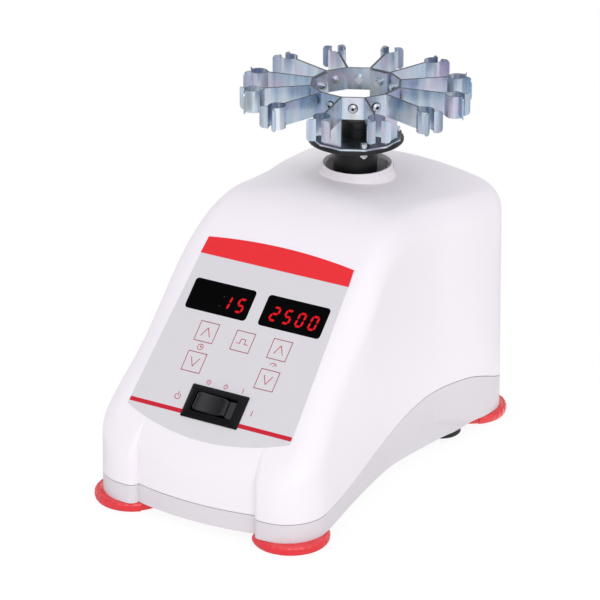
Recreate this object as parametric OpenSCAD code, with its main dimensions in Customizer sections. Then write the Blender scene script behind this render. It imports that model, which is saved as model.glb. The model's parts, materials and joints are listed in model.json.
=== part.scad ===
/* [Footprint] */
// How far a foot's middle lies in from the side of the body
foot_in_x = 25.6; // [23:0.1:28]
// How far a foot's middle lies in from the front and rear
foot_in_y = 26.5; // [24:0.1:30]
// Radius of a corner foot
foot_r = 30.2; // [29:0.1:31]
// Height of a foot, from the bench to the body
foot_h = 8; // [6:0.5:12]

/* [Housing] */
// Half the width of the body at its corners
body_half_w = 97.5; // [95:0.5:102]
// Half the depth of the body
body_half_d = 165; // [162:0.5:168]
// Half the width at the narrowest place of the waist
waist_half_w = 78; // [76:0.5:84]
// How far behind the middle the waist is narrowest
waist_y = 37.5; // [30:0.5:45]
// Height of the roof line above the middle of the body
roof_z = 219.6; // [216:0.1:232]
// Fall of the roof towards the rear, in mm per mm
roof_fall = 0.085; // [0:0.005:0.12]
// Radius of the roof's crown from side to side
crown_r = 321; // [250:1:500]
// Wall of the moulded housing
wall = 3.5; // [3:0.1:4.5]
// Radius of the front corners, seen from above
front_corner_r = 33; // [28:0.5:36]
// Radius of the rear corners, seen from above
rear_corner_r = 31; // [28:0.5:36]
// Rounding along the side edges of the roof
side_edge_r = 18.4; // [12:0.1:20]
// Rounding along the lower ends of the panel's side edges
panel_edge_r = 24.5; // [20:0.1:25]
// Rounding along the rear edge of the roof
rear_edge_r = 15.6; // [12:0.1:30]
// Rounding where the panel meets the front wall
front_edge_r = 11.5; // [8:0.5:12]
// Lean of the walls for moulding, in mm per mm
draft = 0.009; // [0.005:0.001:0.02]
// How far the waist's walls lean out between the seam and the roof
waist_lean = 7.2; // [4:0.1:9]
// Width of the pillar in front of each front corner
pillar_w = 11; // [9:0.5:14]
// Radius of the bowed wall in the front recess
recess_r = 230; // [200:5:300]

/* [Parting line] */
// Height of the seam between base and housing at the front
seam_z = 23; // [21:0.5:26]
// Rise of the seam along the side
seam_rise = 24; // [16:1:26]
// Drop of the seam at the rear corner
seam_drop = 15; // [8:1:18]
// Gap that shows as a line at the seam
seam_gap = 0.3; // [0.2:0.05:0.5]
// Height of the arch over the side ledge
arch_rise = 11; // [6:1:14]
// How far the side ledge stands out at its foot
ledge_out = 4.5; // [2:0.5:6]

/* [Panel] */
// Slope of the control panel from level
panel_angle = 44.4; // [43:0.1:46]
// How far the panel's middle lies behind the front
panel_in = 76; // [73:0.5:79]
// Height of the panel's middle
panel_z = 131.9; // [129:0.1:134]
// Thickness of the printed film
film_t = 0.5; // [0.3:0.1:0.8]
// Width of a display window
window_w = 55.5; // [52:0.5:58]
// Height of a display window
window_h = 26.2; // [24:0.2:28]
// Side of a key
key_side = 16.6; // [14:0.2:18]
// Travel of a key
key_travel = 0.4; // [0.2:0.1:0.4]
// Width of the rocker's frame
bezel_w = 51; // [48:0.5:54]
// Height of the rocker's frame
bezel_h = 27.5; // [26:0.5:29]
// Tilt of the rocker to either side
rocker_tilt = 10; // [6:1:10]

/* [Drive] */
// How far the drive axis lies in front of the rear
drive_in = 87; // [85:0.5:90]
// Throw of the eccentric, half of the orbit's diameter
throw = 2.45; // [1.5:0.05:3]
// Radius of the hole in the roof
neck_hole_r = 25.5; // [24.5:0.1:27]
// Height of the hole's raised lip
lip_z = 222; // [220:0.5:232]
// Radius of the head's post
post_r = 17.2; // [16:0.1:18]
// Radius of the motor's case
motor_r = 42; // [38:0.5:44]
// Length of the motor's case
motor_len = 60; // [56:1:62]
// Radius of the motor's shaft
shaft_r = 4; // [3:0.1:5]
// How far the head travels down when it is pressed
touch_travel = 1.5; // [1:0.1:1.5]
// Radius of a guide post
guide_r = 5; // [4:0.1:6]
// Running clearance of shafts and pins, on the radius
running = 0.05; // [0.03:0.01:0.08]

/* [Tube holder] */
// Height of the dish's rim
dish_z = 245; // [243:0.5:250]
// Radius of the dish
dish_r = 38; // [36:0.5:42]
// Number of clips round the ring
clips = 12; // [12:1:12]
// Distance from the ring's axis to its corners
ring_r = 35.85; // [35:0.05:38]
// Height of the ring and of the clips
ring_h = 18; // [14:0.5:20]
// Height of the ring's top edge
ring_top = 289.3; // [285:0.1:296]
// Thickness of the ring's sheet
ring_t = 1.2; // [1:0.1:1.5]
// Thickness of a clip's sheet
clip_t = 0.8; // [0.6:0.1:1]
// Distance from the axis to the tubes' centres
tube_ring_r = 81; // [79:0.5:84]
// Radius of the seat for a tube
seat_r = 6.1; // [5.5:0.1:6.5]
// Distance from the axis to the tips of the lips
tip_r = 91.6; // [90:0.1:93]
// Turn of the holder on the head
holder_turn = -3; // [-6:1:6]

/* [Hidden] */
$fn = 72;
eps = 0.01;
rest_gap = 0.3;
foot_pitch_x = 2 * (body_half_w - foot_in_x);
foot_pitch_y = 2 * (body_half_d - foot_in_y);
recess_half_w = body_half_w - front_corner_r - pillar_w;
panel_y = panel_in - body_half_d;
drive_y = body_half_d - drive_in;
head_y = drive_y - throw;

// ---- curves of the moulded body ----

function step(a, b, v) = let (t = min(1, max(0, (v - a) / (b - a)))) t * t * (3 - 2 * t);
function mix(p, q, t) = p + (q - p) * t;
function soft_min(p, q, k) = let (h = max(0, k - abs(p - q))) min(p, q) - h * h / (4 * k);
function arc(cx, cy, r, a0, a1, n) =
    [for (i = [0 : n]) [cx + r * cos(mix(a0, a1, i / n)), cy + r * sin(mix(a0, a1, i / n))]];
function bezier(p0, p1, p2, p3, n) =
    [for (i = [1 : n - 1]) let (t = i / n, s = 1 - t)
        s * s * s * p0 + 3 * s * s * t * p1 + 3 * s * t * t * p2 + t * t * t * p3];

// Height of the seam over a place y, and of the arch above the side ledge
rise_from = 60 - body_half_d;
rise_to = body_half_d - 76;
drop_from = body_half_d - 66;
drop_to = body_half_d - 5;
function seam(y) = seam_z + seam_rise * step(rise_from, rise_to, y) - seam_drop * step(drop_from, drop_to, y);
arch_front = waist_y - 49.5;
arch_mid = waist_y + 14.5;
arch_rear = waist_y + 54.5;
function bump(y) = step(arch_front, arch_mid, y) * (1 - step(arch_mid, arch_rear, y));
land = 0.8;
function arch(y) = foot_h + land + arch_rise * bump(y);

// Height of the outer skin, without the rounding along its edge
blend = 33;
function slope_at(y) = panel_z + tan(panel_angle) * (y - panel_y);
function roof_at(x, y) = roof_z - roof_fall * y - x * x / (2 * crown_r);
function skin(x, y) = soft_min(slope_at(y), roof_at(x, y), blend);
corner_y = body_half_d - front_corner_r;
function edge_r(y) = front_edge_r + (panel_edge_r - front_edge_r) * step(-body_half_d, 4 - corner_y, y)
    + (side_edge_r - panel_edge_r) * step(rise_from, panel_y + 79, y)
    + (rear_edge_r - side_edge_r) * step(drop_from + 11, drop_to, y);
// The side walls stand upright over the feet and lean out over the waist
function lean(y) = waist_lean * step(rise_from - 5, waist_y - 75.5, y)
    * (1 - step(waist_y + 44.5, waist_y + 92.5, y));

// Right half of the plan, from the middle of the front to the middle of the rear
function half_plan(front, hw, fy, ry, fr, rr, waist, k) = let (
        fc = [hw - fr, fy + fr], rc = [hw - rr, ry - rr], w = [waist, waist_y]) concat(
    front,
    arc(fc[0], fc[1], fr, -90, 0, 2 * k),
    bezier([hw, fc[1]], [hw, fc[1] + 16], [waist, waist_y - 78], w, 5 * k),
    [w],
    bezier(w, [waist, waist_y + 52], [hw, rc[1] - 32], [hw, rc[1]], 2 * k),
    arc(rc[0], rc[1], rr, 0, 90, 2 * k),
    [for (i = [2 : -1 : 0]) [rc[0] * i / 3, ry]]);
function whole_plan(half) = concat(half, [for (i = [len(half) - 2 : -1 : 1]) [-half[i][0], half[i][1]]]);
// Directions out of the plan; along the front wall they all point straight ahead
function outward(p, front_x) = let (n = len(p)) [for (i = [0 : n - 1])
    let (d = p[(i + 1) % n] - p[(i + n - 1) % n])
        p[i][1] < 0 && abs(p[i][0]) < front_x ? [0, -1] : [d[1], -d[0]] / norm(d)];

// The front wall is bowed between the two corner pillars
function recess_y(x) = recess_r - body_half_d + 0.3 - sqrt(recess_r * recess_r - x * x);
recess_depth = recess_y(recess_half_w) + body_half_d;
recessed_front = concat(
    [for (i = [0 : 5]) [recess_half_w * i / 5, recess_y(recess_half_w * i / 5)]],
    [for (a = [30 : 30 : 90]) [recess_half_w + recess_depth * (1 - cos(a)),
        -body_half_d + recess_depth * (1 - sin(a))]]);
outer_plan = whole_plan(half_plan(recessed_front, body_half_w, -body_half_d, body_half_d,
    front_corner_r, rear_corner_r, waist_half_w, 4));
outer_out = outward(outer_plan, body_half_w - front_corner_r);
inner_front_y = recess_y(body_half_w - front_corner_r) + wall;
inner_plan = whole_plan(half_plan([for (x = [0, 20, 40]) [x, recess_y(x) + wall]],
    body_half_w - wall, inner_front_y, body_half_d - wall, front_corner_r - wall, rear_corner_r - wall,
    waist_half_w - wall, 2));
inner_out = outward(inner_plan, body_half_w - front_corner_r);

// A ring of points on the skin: inset along the directions out, and lowered by the rounding
function skin_ring(plan, out, angle, less_r, lower) = [for (i = [0 : len(plan) - 1])
    let (r = edge_r(plan[i][1]) - less_r,
        top = skin(plan[i][0], plan[i][1]),
        q = plan[i] - out[i] * (draft * (top - seam_z) - lean(plan[i][1]) + r * (1 - cos(angle))))
        [q[0], q[1], skin(q[0], q[1]) - lower - r * (1 - sin(angle))]];

// Last place of the plan's right half that lies in front of a line
function last_before(plan, y) = max([for (i = [0 : len(plan) / 2]) if (plan[i][1] < y) i]);
function side_faces(n, rings) = [for (k = [0 : rings - 2]) for (i = [0 : n - 1])
    let (a = k * n + i, b = k * n + (i + 1) % n) each [[a, a + n, b + n], [a, b + n, b]]];
// Point k of 7 across row i: its ends lie on the ring, the last row e is the rear wall's line
function row_point(i, k, n, first, e) = i == e ? (k <= 3 ? first + e + k : first + n - e - 6 + k)
    : k == 0 ? first + i : first + n - i;
function fan_faces(a, d, row) = concat([for (k = [0 : 5]) [a, row[k + 1], row[k]]], [[a, d, row[6]]]);
function turned(faces) = [for (f = faces) [for (i = [len(f) - 1 : -1 : 0]) f[i]]];
// A cap across mirrored points, seen from above: a fan from a point c up to place j, strips behind
// it, and a fan to the rear wall's line
function cap_faces(n, first, j, c, a, m) = let (e = n / 2 - 3) concat(
    front_fan(n, first, j, c, a, m), [[c, first + j, first + n - j]],
    strip_faces(n, first, j, e - 1),
    fan_faces(first + e - 1, first + n - e + 1, [for (k = [0 : 6]) row_point(e, k, n, first, e)]));
function strip_faces(n, first, j, e) = [for (i = [j : e - 1])
    let (a = first + i, b = a + 1, c = first + n - i - 1, d = c + 1) each [[a, d, c], [a, c, b]]];
// Both corner pillars, from place a of the front line to place m, have a fan of their own
function front_fan(n, first, j, c, a, m) = concat(
    [for (i = [0 : j - 1]) if (i < a || i >= m) each both(n, first, c, i, i + 1)],
    m > a ? both(n, first, c, a, m) : [],
    [for (k = [a + 1 : m - 1]) let (r = first + a, l = first + n - a)
        each [[r, first + k + 1, first + k], [l, first + n - k, first + n - k - 1]]]);
function both(n, first, c, i, k) = [[c, first + k, first + i], [c, first + (n - i) % n, first + n - k]];

// Solid under the skin: walls, rounded edge, a flat panel, and a grid over the roof
panel_end_y = panel_y + 47;
fan_y = 23 - body_half_d;
module skin_solid(plan, out, foot, angles, less_r, lower, a, m) {
    n = len(plan);
    e = n / 2 - 3;
    j = last_before(plan, panel_end_y);
    rings = concat([foot], [for (t = angles) skin_ring(plan, out, t, less_r, lower)]);
    edge = rings[len(rings) - 1];
    first = (len(rings) - 1) * n;
    grid = [for (i = [j + 1 : e - 1]) for (k = [1 : 5]) let (x = edge[i][0] * (1 - k / 3), y = edge[i][1])
        [x, y, skin(x, y) - lower]];
    rows = [for (i = [j + 1 : e]) [for (k = [0 : 6])
        i < e && k > 0 && k < 6 ? first + n + 5 * (i - j - 1) + k - 1 : row_point(i, k, n, first, e)]];
    corner_j = last_before(plan, -body_half_d + front_corner_r + 1);
    fan_i = first + n + len(grid);
    polyhedron(
        points = concat([for (ring = rings) each ring], grid,
            [[0, fan_y, skin(0, fan_y) - lower], [0, fan_y, foot[0][2]]]),
        faces = concat(
            turned(cap_faces(n, 0, last_before(plan, rise_from - 1), fan_i + 1, a, m)),
            side_faces(n, len(rings)),
            front_fan(n, first, corner_j, fan_i, a, m), [[fan_i, first + corner_j, first + n - corner_j]],
            strip_faces(n, first, corner_j, j),
            fan_faces(first + j, first + n - j, rows[0]),
            [for (i = [0 : len(rows) - 2]) for (k = [0 : 5])
                each [[rows[i][k], rows[i][k + 1], rows[i + 1][k + 1]],
                    [rows[i][k], rows[i + 1][k + 1], rows[i + 1][k]]]]));
}

pillar_a = 5;
pillar_m = last_before(outer_plan, recess_y(recess_half_w)) + 1;

module outer_body() {
    skin_solid(outer_plan, outer_out, [for (p = outer_plan) [p[0], p[1], seam(p[1]) + seam_gap]],
        [0 : 18 : 90], 0, 0, pillar_a, pillar_m);
}

module inner_body() {
    skin_solid(inner_plan, inner_out, [for (i = [0 : len(inner_plan) - 1]) let (p = inner_plan[i],
            s = seam(p[1]), q = p - inner_out[i] * lean(p[1]) * s / (skin(p[0], p[1]) - edge_r(p[1]) - s))
            [q[0], q[1], 0]],
        [0 : 30 : 90], wall, wall / cos(panel_angle), 0, 0);
}

// Puts its children on the sloped panel: x across, y up the slope, z out of the panel
module on_panel() {
    translate([0, panel_y, panel_z])
        rotate([panel_angle, 0, 0])
            children();
}

module rounded_rect(w, h, r) {
    for (s = [-1, 1]) {
        translate([-w / 2, s > 0 ? -h / 2 + r : -h / 2 + r])
            square([w, h - 2 * r]);
        translate([-w / 2 + r, -h / 2])
            square([w - 2 * r, h]);
        for (t = [-1, 1])
            translate([s * (w / 2 - r), t * (h / 2 - r)])
                circle(r);
    }
}

// ---- places on the panel ----

window_x = 33.25;
window_y = 26;
key_x = 33;
key_gap = 0.25;
upper_keys_y = -2.8;
lower_keys_y = -28.6;
pulse_y = -3.4;
key_places = [[-key_x, upper_keys_y], [-key_x, lower_keys_y], [key_x, upper_keys_y],
    [key_x, lower_keys_y], [0, pulse_y]];
bezel_y = -59.2;
rocker_w = 39.2;
rocker_h = 17.2;
rocker_gap = 0.4;
bezel_body_w = rocker_w + 2 * rocker_gap + 3.4;
bezel_body_h = rocker_h + 2 * rocker_gap + 3.4;
film_top_y = 78.6;
film_shoulder_y = 74;
film_top_w = 131.8;
film_foot_y = -73.5;
film_low_y = -88.3;
film_foot_w = 146.6;
board_top = -9.5;
board_t = 1.6;
boss_places = [for (x = [-60, 60]) for (y = [-36, 44]) [x, y]];

function bow(w, y0, y1, n) = [for (i = [0 : n]) let (t = 2 * i / n - 1) [t * w / 2, y1 + (y0 - y1) * t * t]];

module film_outline() {
    top = bow(film_top_w, film_shoulder_y, film_top_y, 12);
    low = bow(film_foot_w, film_foot_y, film_low_y, 16);
    polygon(concat(low, [for (i = [len(top) - 1 : -1 : 0]) top[i]]));
}

module key_cut(extra) {
    for (p = key_places)
        translate(p)
            square(key_side + 2 * extra, center = true);
}

module window_cut(extra) {
    for (s = [-1, 1])
        translate([s * window_x, window_y])
            rounded_rect(window_w + 2 * extra, window_h + 2 * extra, 3);
}

// ---- housing ----

collar_z = lip_z - 36;
collar_t = 3.5;
inlet_in = 52.5;
inlet_x = body_half_w - inlet_in;
inlet_z = 66;
inlet_w = 27.6;
inlet_h = 20.4;
display_w = 50.3;
display_h = 19;

// The hole's collar hangs inside, and its lip swells out of the roof
module neck_collar() {
    lip_w = 5;
    low = skin(0, drive_y + neck_hole_r) - 3;
    swell = [for (t = [0 : 0.125 : 1]) [neck_hole_r + 2.5 + lip_w * t,
        mix(lip_z, low, step(0, 1, t))]];
    translate([0, drive_y, 0])
        rotate_extrude($fn = 96)
            polygon(concat([[neck_hole_r - 1, collar_z], [neck_hole_r + collar_t, collar_z],
                [neck_hole_r + collar_t, low - 2], [neck_hole_r + 2.5 + lip_w, low - 2]],
                [for (i = [len(swell) - 1 : -1 : 0]) swell[i]], [[neck_hole_r - 1, lip_z]]));
}

module upper_housing() {
    color("whitesmoke")
        difference() {
            union() {
                difference() {
                    outer_body();
                    inner_body();
                }
                neck_collar();
                on_panel()
                    for (p = boss_places)
                        translate([p[0], p[1], board_top])
                            cylinder(r = 3.5, h = -board_top - wall + 1);
            }
            translate([0, drive_y, collar_z - 1])
                cylinder(r = neck_hole_r, h = lip_z - collar_z + 20);
            on_panel() {
                translate([0, 0, -0.7])
                    linear_extrude(5)
                        key_cut(key_gap);
                for (p = key_places)
                    translate([p[0], p[1], -8])
                        cylinder(r = 3.4, h = 10);
                for (s = [-1, 1])
                    translate([s * window_x, window_y, -4])
                        cube([display_w + 1.2, display_h + 1.2, 20], center = true);
                translate([0, bezel_y, -4])
                    cube([bezel_body_w + 0.4, bezel_body_h + 0.4, 20], center = true);
            }
            translate([inlet_x, body_half_d, inlet_z])
                cube([inlet_w + 0.4, 30, inlet_h + 0.4], center = true);
        }
}

floor_t = 3;
floor_z = foot_h + floor_t;
cover_half_w = body_half_w - 47.5;
cover_half_d = body_half_d - 53;
cover_t = 1.8;
cover_screws = [for (x = [8 - cover_half_w, cover_half_w - 8])
    for (y = [12 - cover_half_d, cover_half_d - 12]) [x, y]];
foot_places = [for (x = [-1, 1]) for (y = [-1, 1]) [x * foot_pitch_x / 2, y * foot_pitch_y / 2]];
power_half_w = cover_half_w - 2;
power_posts = [for (x = [-power_half_w, power_half_w]) for (y = [-cover_half_d, 88 - cover_half_d]) [x, y]];
power_z = floor_z + 9;

module lower_base() {
    n = len(outer_plan);
    front_j = last_before(outer_plan, rise_from - 1);
    rings = [
        [for (i = [0 : n - 1]) let (p = outer_plan[i] + outer_out[i] * ledge_out * bump(outer_plan[i][1])
            * step(60, 70, abs(outer_plan[i][0]))) [p[0], p[1], foot_h]],
        [for (p = outer_plan) [p[0], p[1], arch(p[1])]],
        [for (p = outer_plan) [p[0], p[1], seam(p[1])]]];
    color("gainsboro")
        difference() {
            union() {
                difference() {
                    polyhedron(points = concat([for (ring = rings) each ring],
                            [[0, fan_y, foot_h], [0, fan_y, seam_z]]),
                        faces = concat(turned(cap_faces(n, 0, front_j, 3 * n, pillar_a, pillar_m)),
                            side_faces(n, 3),
                            cap_faces(n, 2 * n, front_j, 3 * n + 1, pillar_a, pillar_m)));
                    translate([0, 0, floor_z])
                        linear_extrude(100)
                            polygon(inner_plan);
                }
                for (p = power_posts)
                    translate([p[0], p[1], floor_z - eps])
                        cylinder(r = 4, h = power_z - floor_z + eps);
                for (p = foot_places)
                    translate([p[0], p[1], floor_z - eps])
                        cylinder(r = 7, h = 8);
            }
            for (p = foot_places)
                translate([p[0], p[1], foot_h - 1])
                    cylinder(r = 2.1, h = 8);
            for (p = cover_screws)
                translate([p[0], p[1], foot_h - 1])
                    cylinder(r = 1.6, h = 10);
        }
}

module bottom_cover() {
    color("silver")
        difference() {
            translate([-cover_half_w, -cover_half_d, foot_h - cover_t])
                cube([2 * cover_half_w, 2 * cover_half_d, cover_t]);
            for (p = cover_screws)
                translate([p[0], p[1], 0])
                    cylinder(r = 1.8, h = 10);
        }
}

screw_head_h = 1.8;

module base_screws() {
    color("dimgray") {
        for (p = cover_screws)
            translate([p[0], p[1], foot_h - cover_t]) {
                cylinder(r = 1.6, h = cover_t + floor_t - 0.2);
                translate([0, 0, -screw_head_h])
                    cylinder(r = 3.5, h = screw_head_h);
            }
        for (p = foot_places)
            translate([p[0], p[1], foot_h / 2]) {
                cylinder(r = 2, h = foot_h / 2 + 6);
                translate([0, 0, -2.4])
                    cylinder(r = 5, h = 2.4);
            }
    }
}

// A round rubber foot: a soft rim, three notches in it, and a counterbore for its screw
module foot() {
    rim = foot_r - 2.2;
    color("crimson")
        difference() {
            rotate_extrude($fn = 96)
                polygon(concat([[0, 0], [rim + 0.6, 0]],
                    arc(rim, 2.6, 2.2, -60, 60, 6),
                    [[foot_r - 3, foot_h], [0, foot_h]]));
            translate([0, 0, -1])
                cylinder(r = 9, h = foot_h / 2 + 1);
            translate([0, 0, -1])
                cylinder(r = 2.1, h = foot_h + 2);
            for (a = [-44, 76, 196])
                rotate(a)
                    translate([foot_r - 1.6, -4, -1])
                        cube([5, 8, 4.4]);
        }
}

module foot_at(x, y) {
    translate([x * foot_pitch_x / 2, y * foot_pitch_y / 2, 0])
        foot();
}

pad_r = 16;
pad_y = foot_pitch_y / 2 - foot_r - pad_r - 0.8;

module side_pads() {
    color("black")
        for (side = [-1, 1])
            translate([side * foot_pitch_x / 2, pad_y, 0])
                rotate_extrude()
                    polygon([[0, 0], [pad_r - 1, 0], [pad_r, 1], [pad_r, foot_h], [0, foot_h]]);
}

// ---- control panel ----

module panel_film() {
    color("lightgray")
        on_panel()
            linear_extrude(film_t)
                difference() {
                    film_outline();
                    key_cut(key_gap);
                    window_cut(0.05);
                    translate([0, bezel_y])
                        square([bezel_body_w + 0.4, bezel_body_h + 0.4], center = true);
                }
}

module display_window(side) {
    color("black")
        on_panel()
            translate([side * window_x, window_y, 0])
                linear_extrude(film_t)
                    rounded_rect(window_w, window_h, 3);
}

module display(side) {
    color("darkred")
        on_panel()
            translate([side * window_x - display_w / 2, window_y - display_h / 2, board_top])
                cube([display_w, display_h, -board_top - rest_gap]);
}

key_stem_r = 3;
tact_top = -6;

module control_board() {
    color("darkgreen")
        on_panel() {
            translate([-66, -40, board_top - board_t])
                cube([132, 90, board_t]);
            for (p = key_places)
                translate([p[0] - 3, p[1] - 3, board_top])
                    cube([6, 6, tact_top - board_top]);
        }
}

module key(i) {
    color("lightgray")
        on_panel()
            translate(concat(key_places[i], [0])) {
                translate([-key_side / 2, -key_side / 2, 0])
                    cube([key_side, key_side, film_t]);
                translate([0, 0, tact_top + key_travel + 0.1])
                    cylinder(r = key_stem_r, h = -tact_top - key_travel);
            }
}

flange_t = 2.2;
pivot_z = -3;
pin_r = 1.5;

module rocker_bezel() {
    color("black")
        on_panel()
            translate([0, bezel_y, 0])
                difference() {
                    union() {
                        translate([0, 0, film_t])
                            linear_extrude(flange_t)
                                rounded_rect(bezel_w, bezel_h, 1.5);
                        translate([-bezel_body_w / 2, -bezel_body_h / 2, -16])
                            cube([bezel_body_w, bezel_body_h, 16 + film_t + eps]);
                    }
                    translate([-rocker_w / 2 - rocker_gap, -rocker_h / 2 - rocker_gap, -13])
                        cube([rocker_w + 2 * rocker_gap, rocker_h + 2 * rocker_gap, 30]);
                    translate([0, 0, pivot_z])
                        rotate([90, 0, 0])
                            cylinder(r = pin_r + running, h = bezel_body_h - 1, center = true);
                }
}

// The rocker lies pressed on its right side: its two wings meet in a shallow valley
module rocker() {
    end = rocker_w / 2;
    color("dimgray")
        on_panel()
            translate([0, bezel_y, pivot_z])
                rotate([0, rocker_tilt, 0]) {
                    rotate([90, 0, 0])
                        linear_extrude(rocker_h, center = true)
                            intersection() {
                                circle(end);
                                polygon([[-end, 4.6], [-6, 1.6], [0, 1.1], [6, 1.6], [end, 4.6],
                                    [end, -1], [11, -6], [-11, -6], [-end, -1]]);
                            }
                    rotate([90, 0, 0])
                        cylinder(r = pin_r, h = bezel_body_h - 1.4, center = true);
                }
}

// ---- rear and inside ----

module mains_inlet() {
    flange = 2.2;
    color("black")
        translate([inlet_x, body_half_d, inlet_z])
            rotate([-90, 0, 0]) {
                difference() {
                    union() {
                        linear_extrude(flange)
                            rounded_rect(inlet_w + 20, inlet_h + 7, 4);
                        translate([-inlet_w / 2, -inlet_h / 2, -20])
                            cube([inlet_w, inlet_h, 20 + eps]);
                    }
                    translate([0, 0, -15])
                        linear_extrude(30)
                            polygon([[-12, -8.2], [12, -8.2], [12, 4], [7.8, 8.2], [-7.8, 8.2], [-12, 4]]);
                    for (s = [-1, 1])
                        translate([s * 20, 0, -1])
                            cylinder(r = 1.7, h = 5);
                }
                for (x = [-7, 0, 7])
                    translate([x - 1, x == 0 ? -1.5 : -4.5, -16])
                        cube([2, 4, 13]);
            }
}

module power_board() {
    color("seagreen")
        translate([-56, -120, power_z])
            cube([112, 104, 1.6]);
}

module transformer() {
    color("goldenrod")
        translate([-44, -92, power_z + 1.6]) {
            cube([46, 40, 10]);
            translate([7, 0, 0])
                cube([32, 40, 34]);
        }
}

stand_t = 3;
stand_half_w = foot_pitch_x / 2 - 9;
guide_x = 52;
guide_dy = 34;
guide_places = [for (x = [-guide_x, guide_x]) for (y = [-guide_dy, guide_dy]) [x, drive_y + y]];
plate_z = 100;
plate_t = 4;
mount_h = 14;
collar_r = 8;
switch_y = drive_y + 52;
switch_top = plate_z - 4;

module motor_stand() {
    color("silver") {
        translate([-stand_half_w, drive_y - 46, floor_z])
            cube([2 * stand_half_w, 106, stand_t]);
        for (p = guide_places)
            translate([p[0], p[1], floor_z]) {
                cylinder(r = collar_r, h = plate_z - mount_h - floor_z);
                cylinder(r = guide_r, h = plate_z + plate_t + 8 - floor_z);
            }
        translate([-8, switch_y + 5, floor_z])
            cube([16, 3, switch_top - 4 - floor_z]);
    }
}

module post_clips() {
    color("dimgray")
        for (p = guide_places)
            translate([p[0], p[1], plate_z + plate_t + rest_gap])
                difference() {
                    cylinder(r = guide_r + 3, h = 1.2);
                    translate([0, 0, -1])
                        cylinder(r = guide_r, h = 4);
                }
}

module rubber_mounts() {
    inner = guide_r + 0.3;
    color("black")
        for (p = guide_places)
            translate([p[0], p[1], plate_z - mount_h])
                rotate_extrude()
                    polygon(concat([[inner, 0.0], [inner + 5, 0]],
                        [for (i = [1 : 7]) [inner + 5 - 1.6 * sin(22.5 * i), mount_h * i / 8]],
                        [[inner + 5, mount_h], [inner, mount_h]]));
}

plunger_r = 2;

module touch_switch() {
    color("firebrick")
        difference() {
            translate([-10, switch_y - 5, switch_top - 18])
                cube([20, 10, 18]);
            translate([0, switch_y, switch_top - 9])
                cylinder(r = plunger_r + running, h = 10);
        }
}

module switch_plunger() {
    color("ivory")
        translate([0, switch_y, switch_top - 9 + touch_travel + 0.4])
            cylinder(r = plunger_r, h = plate_z - rest_gap - switch_top + 9 - touch_travel - 0.4);
}

plate_in = 0.9;
plate_half_w = stand_half_w - plate_in;
plate_half_d = 44;

module motor_plate() {
    color("silver")
        difference() {
            union() {
                translate([-plate_half_w, drive_y - plate_half_d, plate_z])
                    cube([2 * plate_half_w, 2 * plate_half_d, plate_t]);
                translate([-8, drive_y + 43, plate_z])
                    cube([16, 17, plate_t]);
            }
            for (p = guide_places)
                translate([p[0], p[1], plate_z - 1])
                    cylinder(r = guide_r + running, h = plate_t + 2);
            translate([0, drive_y, plate_z - 1])
                cylinder(r = bearing_r, h = plate_t + 2);
        }
}

bearing_r = 13;
bearing_h = 8;
can_wall = 4;
can_bottom = plate_z - motor_len;

module motor_can() {
    color("gray")
        translate([0, drive_y, can_bottom])
            difference() {
                union() {
                    cylinder(r = motor_r, h = motor_len);
                    for (a = [0 : 15 : 345])
                        rotate(a)
                            translate([motor_r - 1, -0.8, 6])
                                cube([3, 1.6, motor_len - 12]);
                }
                translate([0, 0, -1])
                    cylinder(r = motor_r - can_wall, h = motor_len - can_wall + 1);
                cylinder(r = bearing_r, h = motor_len + 1);
            }
}

module motor_end_cap() {
    color("gray")
        translate([0, drive_y, can_bottom - can_wall])
            difference() {
                cylinder(r = motor_r, h = can_wall);
                translate([0, 0, -1])
                    cylinder(r = bearing_r, h = can_wall + 2);
            }
}

module bearing(inner, outer, h) {
    difference() {
        cylinder(r = outer, h = h);
        translate([0, 0, -1])
            cylinder(r = inner, h = h + 2);
    }
}

module shaft_bearings() {
    color("lightsteelblue")
        translate([0, drive_y, 0])
            for (z = [can_bottom - can_wall, plate_z + plate_t - bearing_h])
                translate([0, 0, z])
                    bearing(shaft_r + running, bearing_r, bearing_h);
}

core_r = motor_r - can_wall - 13;

module stator() {
    color("peru")
        translate([0, drive_y, can_bottom + 10])
            difference() {
                cylinder(r = motor_r - can_wall, h = motor_len - 24);
                translate([0, 0, -1])
                    cylinder(r = core_r + 0.5, h = motor_len);
            }
}

hub_z = plate_z + plate_t + 1;
hub_h = 17;
hub_r = 14;
crank_r = 6;
head_bearing_z = hub_z + hub_h + 2;
head_bearing_h = 16;

module motor_shaft() {
    color("lightgray")
        translate([0, drive_y, can_bottom - can_wall + 1])
            cylinder(r = shaft_r, h = hub_z + hub_h - 1 - can_bottom + can_wall - 1);
}

module rotor_core() {
    color("dimgray")
        translate([0, drive_y, can_bottom + 12])
            difference() {
                cylinder(r = core_r, h = motor_len - 28);
                translate([0, 0, -1])
                    cylinder(r = shaft_r, h = motor_len);
            }
}

module eccentric_hub() {
    color("darkgray")
        difference() {
            union() {
                translate([0, drive_y, hub_z])
                    cylinder(r = hub_r, h = hub_h);
                translate([0, head_y, hub_z + hub_h - eps])
                    cylinder(r = crank_r, h = head_bearing_h + 4);
            }
            translate([0, drive_y, hub_z - 1])
                cylinder(r = shaft_r, h = hub_h);
        }
}

module counterweight() {
    color("darkslategray")
        translate([0, drive_y, hub_z + 3])
            difference() {
                intersection() {
                    cylinder(r = 34, h = 10);
                    translate([-34, 3, 0])
                        cube([68, 34, 10]);
                }
                translate([0, 0, -1])
                    cylinder(r = hub_r, h = 12);
            }
}

// ---- moving head ----

post_z = hub_z + hub_h + 1;
dish_under_z = dish_z - 10;

module head_bearing() {
    color("lightsteelblue")
        translate([0, head_y, head_bearing_z])
            bearing(crank_r + running, bearing_r, head_bearing_h);
}

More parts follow.
